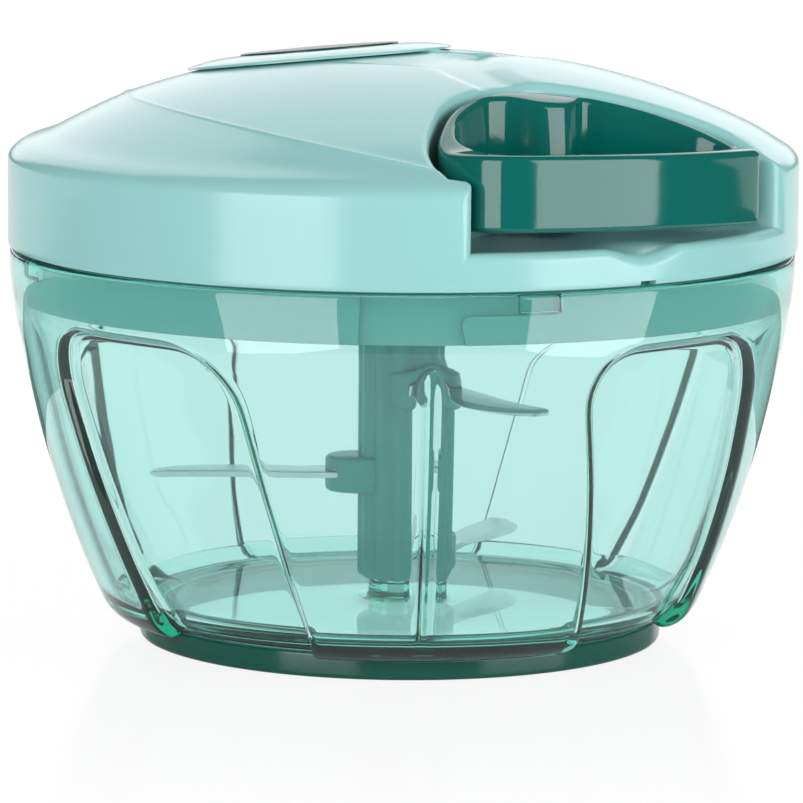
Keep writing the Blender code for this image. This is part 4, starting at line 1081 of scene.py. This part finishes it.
def winding():
    """Two layers of laid turns on the drum, the second one coming back down."""
    marks = []
    rise = DRUM_HIGH - DRUM_LOW - 0.6 - 1.5
    full = TURNS_PER_LAYER * 2.0 * math.pi
    for layer in range(2):
        radius = DRUM_R + 0.85 + 1.38 * layer
        for share in np.linspace(0.0, 1.0, 141):
            height = DRUM_LOW + 1.05 + (1.0 - share if layer else share) * rise
            angle = layer * full + share * full
            marks.append((radius * math.cos(angle), radius * math.sin(angle), height))
    return rope("cord_coil", np.array(marks), 0.72, 0.12, 12)


def knot():
    centre = np.array(cord_place(KNOT_AT))
    ahead = np.array(polar(1.0, PULL_AZ))
    side = np.array((-ahead[1], ahead[0], 0.0))
    t = full_turn(89)[:, None]
    across = side * (np.sin(t) + 2.0 * np.sin(2.0 * t)) * KNOT_SIZE
    rise = np.array((0.0, 0.0, 1.0)) * (np.cos(t) - 2.0 * np.cos(2.0 * t)) * KNOT_SIZE
    marks = centre + across + rise - ahead * np.sin(3.0 * t) * 0.55
    forward = np.roll(marks, -1, 0) - np.roll(marks, 1, 0)
    forward[[0, -1]] = marks[1] - marks[-2]
    angle = full_turn(16)
    return sheet("knot", tube(marks, forward, ahead, angle, np.full((90, 17), 0.66)), 60.0, 0.02)


# Shared effects, each a node group.
def group(name, outputs, **inputs):
    """A new node group: its tree, the sockets it is given and the node that its results leave by."""
    made = bpy.data.node_groups.new(name, "ShaderNodeTree")

    def add(label, way):
        kind = {"Vector": "NodeSocketVector", "Color": "NodeSocketColor"}.get(label, "NodeSocketFloat")
        return made.interface.new_socket(name=label, in_out=way, socket_type=kind)

    for label, value in inputs.items():
        add(label.replace("_", " "), "INPUT").default_value = value
    for label in outputs:
        add(label, "OUTPUT")
    return made, made.nodes.new("NodeGroupInput").outputs, made.nodes.new("NodeGroupOutput")


def feed(tree, target, *values, **named_values):
    """Sets or links inputs of a node, by place or by name with _ for a space. Other names are properties."""
    for key, value in list(enumerate(values)) + list(named_values.items()):
        label = key.replace("_", " ") if isinstance(key, str) else key
        if isinstance(key, str) and label not in target.inputs:
            setattr(target, key, value)
        elif isinstance(value, bpy.types.NodeSocket):
            tree.links.new(value, target.inputs[label])
        else:
            target.inputs[label].default_value = value
    return target


def node(tree, kind, *values, **settings):
    return feed(tree, tree.nodes.new("ShaderNode" + kind), *values, **settings)


def maths(tree, operation, *values):
    return node(tree, "Math", *values, operation=operation).outputs[0]


def bumped(tree, shader, height, depth, strength=1.0):
    bump = node(tree, "Bump", Strength=strength, Distance=depth, Height=height)
    feed(tree, shader, Normal=bump.outputs["Normal"])


def tint_group():
    """Slow drift of a colour over a moulded surface, lighter and darker."""
    tree, given, leave = group(
        "Colour drift", ("Color",), Vector=(0, 0, 0), Color=(0.5, 0.5, 0.5, 1.0), Amount=0.05, Scale=30.0,
    )
    noise = node(tree, "TexNoise", Vector=given["Vector"], Scale=given["Scale"], Detail=3.0, Roughness=0.55)
    spread = maths(tree, "MULTIPLY", maths(tree, "SUBTRACT", noise.outputs["Fac"], 0.5), given["Amount"])
    bright = maths(tree, "ADD", spread, 1.0)
    scaled = node(tree, "VectorMath", given["Color"], operation="SCALE", Scale=bright)
    feed(tree, leave, Color=scaled.outputs[0])
    return tree


def marks_group():
    """Roughness of a handled surface: a base value, wiped patches and fine hairline marks."""
    tree, given, leave = group(
        "Handling marks", ("Roughness", "Height"), Vector=(0, 0, 0), Base=0.2, Spread=0.05, Scale=60.0,
    )
    patches = node(tree, "TexNoise", Vector=given["Vector"], Scale=given["Scale"], Detail=4.0, Roughness=0.6)
    stretch = node(
        tree, "Mapping", Vector=given["Vector"], Rotation=(0.3, 0.5, 0.8), Scale=(220.0, 4000.0, 900.0),
    )
    hairs = node(tree, "TexNoise", Vector=stretch.outputs[0], Scale=1.0, Detail=1.0)
    thin = node(tree, "MapRange", Value=hairs.outputs["Fac"], From_Min=0.66, From_Max=0.78).outputs[0]
    centred = maths(tree, "SUBTRACT", maths(tree, "ADD", patches.outputs["Fac"], thin), 0.5)
    rough = maths(tree, "MULTIPLY_ADD", centred, given["Spread"], given["Base"])
    feed(tree, leave, Roughness=rough, Height=thin)
    return tree


def skin_group():
    """Height of a moulded skin: a long soft waviness with a fine grain on it."""
    tree, given, leave = group(
        "Moulded skin", ("Height",), Vector=(0, 0, 0), Wave=18.0, Grain=1600.0, Grain_share=0.1,
    )
    wave = node(tree, "TexNoise", Vector=given["Vector"], Scale=given["Wave"], Detail=1.0)
    grain = node(tree, "TexNoise", Vector=given["Vector"], Scale=given["Grain"], Detail=2.0)
    height = maths(tree, "MULTIPLY_ADD", grain.outputs["Fac"], given["Grain share"], wave.outputs["Fac"])
    feed(tree, leave, Height=height)
    return tree


GROUPS = {}


def shared(tree, name, **inputs):
    if not GROUPS:
        GROUPS.update(tint=tint_group(), marks=marks_group(), skin=skin_group())
    made = tree.nodes.new("ShaderNodeGroup")
    made.node_tree = GROUPS[name]
    return feed(tree, made, **inputs)


def surface(name, **inputs):
    """A new material: its tree, its Principled shader and the object's own coordinates."""
    made = bpy.data.materials.new(name)
    made.use_nodes = True
    tree = made.node_tree
    shader = feed(tree, tree.nodes["Principled BSDF"], **inputs)
    return made, tree, shader, node(tree, "TexCoord").outputs["Object"]


def moulded(tree, shader, place, roughness, spread, scale, wave, grain, depth):
    """Handling marks in a shader's roughness and a moulded skin in its normal."""
    worn = shared(tree, "marks", Vector=place, Base=roughness, Spread=spread, Scale=scale)
    skin = shared(tree, "skin", Vector=place, Wave=wave, Grain_share=grain)
    feed(tree, shader, Roughness=worn.outputs["Roughness"])
    bumped(tree, shader, skin.outputs["Height"], depth)


def plastic(name, colour, roughness, drift, spread=0.06, grain=0.1, depth=0.00006):
    """Moulded plastic: colour drift, handling marks and a faint moulded skin."""
    made, tree, shader, place = surface(name)
    tint = shared(tree, "tint", Vector=place, Color=(*colour, 1.0), Amount=drift)
    feed(tree, shader, Base_Color=tint.outputs["Color"])
    moulded(tree, shader, place, roughness, spread, 60.0, 18.0, grain, depth)
    return made


def clear_plastic(name, tint, density):
    """Clear tinted plastic: its colour comes from the thickness that light crosses."""
    made, tree, shader, place = surface(
        name, Base_Color=(0.97, 1.0, 0.99, 1.0), Transmission_Weight=0.98, IOR=1.49,
    )
    moulded(tree, shader, place, 0.02, 0.02, 40.0, 26.0, 0.0, 0.0001)
    absorb = node(tree, "VolumeAbsorption", Color=(*tint, 1.0), Density=density)
    feed(tree, tree.nodes["Material Output"], Volume=absorb.outputs[0])
    return made


def metal(name, colour, roughness, stretch=(900.0, 900.0, 60.0), depth=0.00002):
    """Metal with the fine lines of its grinding or drawing."""
    made, tree, shader, place = surface(name, Metallic=1.0)
    tint = shared(tree, "tint", Vector=place, Color=(*colour, 1.0), Amount=0.1, Scale=120.0)
    mapping = node(tree, "Mapping", Vector=place, Scale=stretch)
    noise = node(tree, "TexNoise", Vector=mapping.outputs[0], Scale=1.0, Detail=3.0, Roughness=0.6)
    lines = noise.outputs["Fac"]
    rough = node(tree, "MapRange", Value=lines, To_Min=roughness - 0.06, To_Max=roughness + 0.06)
    feed(tree, shader, Base_Color=tint.outputs["Color"], Roughness=rough.outputs[0])
    bumped(tree, shader, lines, depth)
    return made


def fibre(name, colour):
    """Twisted polyester fibre: fine slanting filaments over each strand, fuzzy and matt, with painted shade
    that darkens the grooves between filaments.
    """
    made, tree, shader, place = surface(name, Roughness=0.85)
    wave = node(
        tree, "TexWave", wave_type="BANDS", bands_direction="DIAGONAL", Vector=place, Scale=900.0,
        Distortion=2.5, Detail=2.0, Detail_Scale=1.4,
    ).outputs["Fac"]
    # Painted shade: the colour falls to 0.55 of itself where the bump's grooves between filaments lie.
    groove_shade = node(tree, "ValToRGB", wave)
    groove_shade.color_ramp.elements[0].color = (*[c * 0.55 for c in colour], 1.0)
    groove_shade.color_ramp.elements[1].color = (*colour, 1.0)
    feed(tree, shader, Base_Color=groove_shade.outputs["Color"])
    bumped(tree, shader, wave, 0.0001, 0.8)
    return made


def finishes():
    """The chopper's materials by name, made once."""
    if not FINISHES:
        c = colours()
        FINISHES.update({
            "mint": plastic("mint plastic", c.mint, 0.2, 0.05, spread=0.05, depth=0.00008),
            "dark": plastic("dark green plastic", c.dark, 0.09, 0.15, spread=0.05, depth=0.00004),
            "ring": plastic("green foot ring", c.ring, 0.14, 0.15, depth=0.00004),
            "inlay": plastic("bare dark inlay", (0.01, 0.06, 0.055), 0.3, 0.1, grain=0.3),
            "teal": plastic("teal plastic", c.teal, 0.25, 0.08),
            "white": plastic("white plastic", (0.75, 0.77, 0.76), 0.35, 0.04, grain=0.2),
            # The seal is a real part of the lid. Its dark green is also painted shade for the narrow gap
            # between the lid and the bowl's rim, where it shows.
            "seal": plastic("seal rubber", (0.03, 0.20, 0.17), 0.55, 0.1, grain=0.6, depth=0.0001),
            "clear": clear_plastic("clear green plastic", c.glass, 150.0),
            "steel": metal("brushed steel", (0.66, 0.67, 0.68), 0.24),
            "spring": metal("blued spring steel", (0.30, 0.32, 0.37), 0.3, (200.0, 200.0, 2400.0)),
            "bronze": metal("sintered bronze", (0.55, 0.38, 0.18), 0.42, (2600.0,) * 3, 0.00005),
            "cord": fibre("twisted cord", (0.72, 0.74, 0.72)),
        })
    return FINISHES


def faded(tree, distance, near, far, start):
    """A value that grows from its start to one between two distances."""
    return node(
        tree, "MapRange", interpolation_type="SMOOTHSTEP", Value=distance, From_Min=near, From_Max=far,
        To_Min=start,
    ).outputs[0]


FINISHES = {}


def dress(piece, finish_name, body, slot, *replaced):
    piece.data.materials.clear()
    piece.data.materials.append(finishes()[finish_name])
    if body:
        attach(piece, body)
    if replaced:
        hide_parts(*replaced)
    return piece


WORKS = {
    "steel": [
        "bowl_pin", "reel_axle", "spring_cover", "hub_washer", "cord_guide", "lid_screw_1", "lid_screw_2",
        "lid_screw_3", "lid_screw_4",
    ],
    "white": ["reel", "drive_hub"],
    "teal": ["clutch_pawl_1", "clutch_pawl_2"],
    "bronze": ["hub_bush", "shaft_bush"],
    "spring": ["recoil_spring"],
}


class CHOPPER_OT_bowl(bpy.types.Operator):
    """Clear bowl with four pressed arches, inner ribs and bayonet lugs, and the ring under it"""

    bl_idname = "chopper.bowl"
    bl_label = "Bowl and foot ring"

    def execute(self, context):
        dress(bowl(), "clear", "bowl", "clear", "bowl")
        dress(foot_ring(), "ring", "bowl", "ring", "base_ring")
        return {"FINISHED"}


class CHOPPER_OT_lid(bpy.types.Operator):
    """Domed lid with its handle pocket, the round badge, the inner plate and the seal"""

    bl_idname = "chopper.lid"
    bl_label = "Lid, badge, plate and seal"

    def execute(self, context):
        dress(lid_shell(), "mint", "lid", "mint", "lid_cover")
        dress(badge_ring(), "mint", "lid", "mint", "badge_disc")
        dress(badge_centre(), "inlay", "lid", "inlay", "badge_inlay")
        dress(inner_plate(), "mint", "lid", "mint", "lid_base")
        dress(seal(), "seal", "seal", "seal", "lid_seal")
        return {"FINISHED"}


class CHOPPER_OT_handle(bpy.types.Operator):
    """Looped pull handle that closes the lid's pocket"""

    bl_idname = "chopper.handle"
    bl_label = "Pull handle"

    def execute(self, context):
        dress(handle(), "dark", "handle", "grip", "pull_handle")
        return {"FINISHED"}


class CHOPPER_OT_cord(bpy.types.Operator):
    """Twisted cord from the reel to the handle, its knot and the turns on the reel"""

    bl_idname = "chopper.cord"
    bl_label = "Cord, knot and winding"

    def execute(self, context):
        line = dress(pull_cord(), "cord", None, "cord", "pull_cord")
        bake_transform(line)
        dress(knot(), "cord", "handle", "cord", "cord_knot")
        dress(winding(), "cord", "reel", "cord", "cord_winding")
        return {"FINISHED"}


class CHOPPER_OT_blades(bpy.types.Operator):
    """Fluted shaft with three ground blades"""

    bl_idname = "chopper.blades"
    bl_label = "Shaft and blades"

    def execute(self, context):
        dress(shaft(), "teal", "blades", "teal", "blade_shaft")
        for number, (height, az, reach) in enumerate(BLADES, 1):
            dress(blade(number, height, az, reach), "steel", "blades", "steel", f"blade_{number}")
        return {"FINISHED"}


class CHOPPER_OT_works(bpy.types.Operator):
    """Materials of the works that keep their part shapes: pins, screws, reel, spring, hub and pawls"""

    bl_idname = "chopper.works"
    bl_label = "Reel and drive finishes"

    def execute(self, context):
        for finish_name, nodes in WORKS.items():
            for name in nodes:
                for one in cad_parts[name].material_slots:
                    one.material = finishes()[finish_name]
        return {"FINISHED"}


class CHOPPER_OT_stage(bpy.types.Operator):
    """White floor, soft lamps and the camera"""

    bl_idname = "chopper.stage"
    bl_label = "Stage and camera"

    def execute(self, context):
        stage()
        return {"FINISHED"}


def floor_material():
    made, tree, shader, place = surface(
        "white floor", Base_Color=(0.92, 0.92, 0.92, 1.0), Roughness=0.16, Specular_IOR_Level=0.35,
    )
    glow = node(tree, "Emission", (1.0, 1.0, 1.0, 1.0))
    rays = node(tree, "LightPath").outputs
    reach = node(tree, "VectorMath", place, operation="LENGTH").outputs["Value"]
    # White fades in with distance, so the shadow and the soft reflection stay near the foot.
    fade = faded(tree, reach, 0.07, 0.19, 0.88)
    seen = maths(tree, "MAXIMUM", rays["Is Camera Ray"], rays["Is Transmission Ray"])
    # Gloss rays find less of that white close to the foot, so the ring keeps its depth of colour.
    gloss = maths(tree, "MULTIPLY", rays["Is Glossy Ray"], faded(tree, reach, 0.09, 0.2, 0.12))
    share = maths(tree, "MULTIPLY", maths(tree, "MAXIMUM", seen, gloss), fade)
    blend = node(tree, "MixShader", share, shader.outputs[0], glow.outputs[0])
    # Gloss rays pass the floor in front of its near part, so walls show the lamps that stand round the table.
    front = maths(tree, "LESS_THAN", node(tree, "SeparateXYZ", place).outputs["Y"], 0.24)
    beyond = maths(tree, "MULTIPLY", maths(tree, "GREATER_THAN", reach, 0.17), front)
    open_to = maths(tree, "MULTIPLY", beyond, rays["Is Glossy Ray"])
    last = node(tree, "MixShader", open_to, blend.outputs[0], node(tree, "BsdfTransparent").outputs[0])
    feed(tree, tree.nodes["Material Output"], Surface=last.outputs[0])
    return made


def lamp(name, azimuth, elevation, distance, width, height, radiance):
    """A soft lamp that shows in gloss as a patch of the given radiance."""
    angle = math.radians(azimuth)
    rise = math.radians(elevation)
    aim = Vector((0.0, 0.0, 0.05))
    flat = math.cos(rise)
    place = Vector((math.sin(angle) * flat, -math.cos(angle) * flat, math.sin(rise))) * distance + aim
    bpy.ops.object.light_add(type="AREA", location=place)
    made = bpy.context.object
    made.name = name
    made.data.shape = "RECTANGLE"
    made.data.size = width
    made.data.size_y = height
    made.data.energy = radiance * math.pi * width * height
    made.rotation_euler = (aim - place).to_track_quat("-Z", "Y").to_euler()
    made.visible_camera = False
    made.visible_transmission = False


def stage():
    # The floor lies a little under the foot, so no face of the two lies in the same plane.
    floor = added("floor", bpy.ops.mesh.primitive_plane_add, size=4.0, location=(0.0, 0.0, -0.05 * MM))
    only(floor)
    bpy.ops.object.transform_apply(location=True, rotation=True, scale=True)
    floor.data.materials.append(floor_material())

    world = bpy.data.worlds.new("studio")
    bpy.context.scene.world = world
    world.use_nodes = True
    tree = world.node_tree
    rays = node(tree, "LightPath").outputs
    seen = maths(tree, "MAXIMUM", rays["Is Camera Ray"], rays["Is Transmission Ray"])
    gloss = maths(tree, "MULTIPLY_ADD", rays["Is Glossy Ray"], -0.22, 0.32)
    level = maths(tree, "MAXIMUM", seen, gloss)
    feed(tree, tree.nodes["Background"], Color=(1.0, 1.0, 1.0, 1.0), Strength=level)

    lamp("lamp_left", -35.0, 4.0, 0.9, 0.55, 0.95, 4.6)
    lamp("lamp_right", 56.0, 4.0, 0.9, 0.65, 0.95, 4.6)
    lamp("lamp_back", 180.0, 30.0, 1.1, 1.3, 1.05, 1.6)

    data = bpy.data.cameras.new("camera")
    data.lens = CAMERA_LENS
    data.sensor_width = 36.0
    data.sensor_fit = "HORIZONTAL"
    data.clip_start = 0.05
    data.clip_end = 20.0
    camera = bpy.data.objects.new("camera", data)
    bpy.context.scene.collection.objects.link(camera)
    turn = Euler((math.radians(90.0 - CAMERA_TILT), 0.0, 0.0)).to_matrix().to_4x4()
    roll = Matrix.Rotation(math.radians(CAMERA_ROLL), 4, "Z")
    camera.matrix_world = Matrix.Translation(CAMERA_PLACE) @ turn @ roll
    bpy.context.scene.camera = camera
    bpy.context.scene.view_settings.view_transform = "Standard"


class CHOPPER_PT_panel(bpy.types.Panel):
    """The chopper's sizes, colours and building steps"""

    bl_idname = "CHOPPER_PT_panel"
    bl_label = "Food chopper"
    bl_space_type = "VIEW_3D"
    bl_region_type = "UI"
    bl_category = "Chopper"

    def draw(self, context):
        layout = self.layout
        for settings in (context.scene.chopper_sizes, context.scene.chopper_colours):
            box = layout.box()
            for name in settings.bl_rna.properties.keys():
                if name not in ("rna_type", "name"):
                    box.prop(settings, name)
        for step in STEPS_IN_ORDER:
            layout.operator(step.bl_idname)


STEPS_IN_ORDER = [
    CHOPPER_OT_bowl, CHOPPER_OT_lid, CHOPPER_OT_handle, CHOPPER_OT_cord, CHOPPER_OT_blades, CHOPPER_OT_works,
    CHOPPER_OT_stage,
]
CLASSES = [ChopperSizes, ChopperColours] + STEPS_IN_ORDER + [CHOPPER_PT_panel]


def register():
    for one in CLASSES:
        bpy.utils.register_class(one)
    bpy.types.Scene.chopper_sizes = PointerProperty(type=ChopperSizes)
    bpy.types.Scene.chopper_colours = PointerProperty(type=ChopperColours)


def unregister():
    del bpy.types.Scene.chopper_colours
    del bpy.types.Scene.chopper_sizes
    for one in reversed(CLASSES):
        bpy.utils.unregister_class(one)


def main():
    register()
    for step in STEPS_IN_ORDER:
        family, name = step.bl_idname.split(".")
        getattr(getattr(bpy.ops, family), name)()


if __name__ == "__main__":
    main()
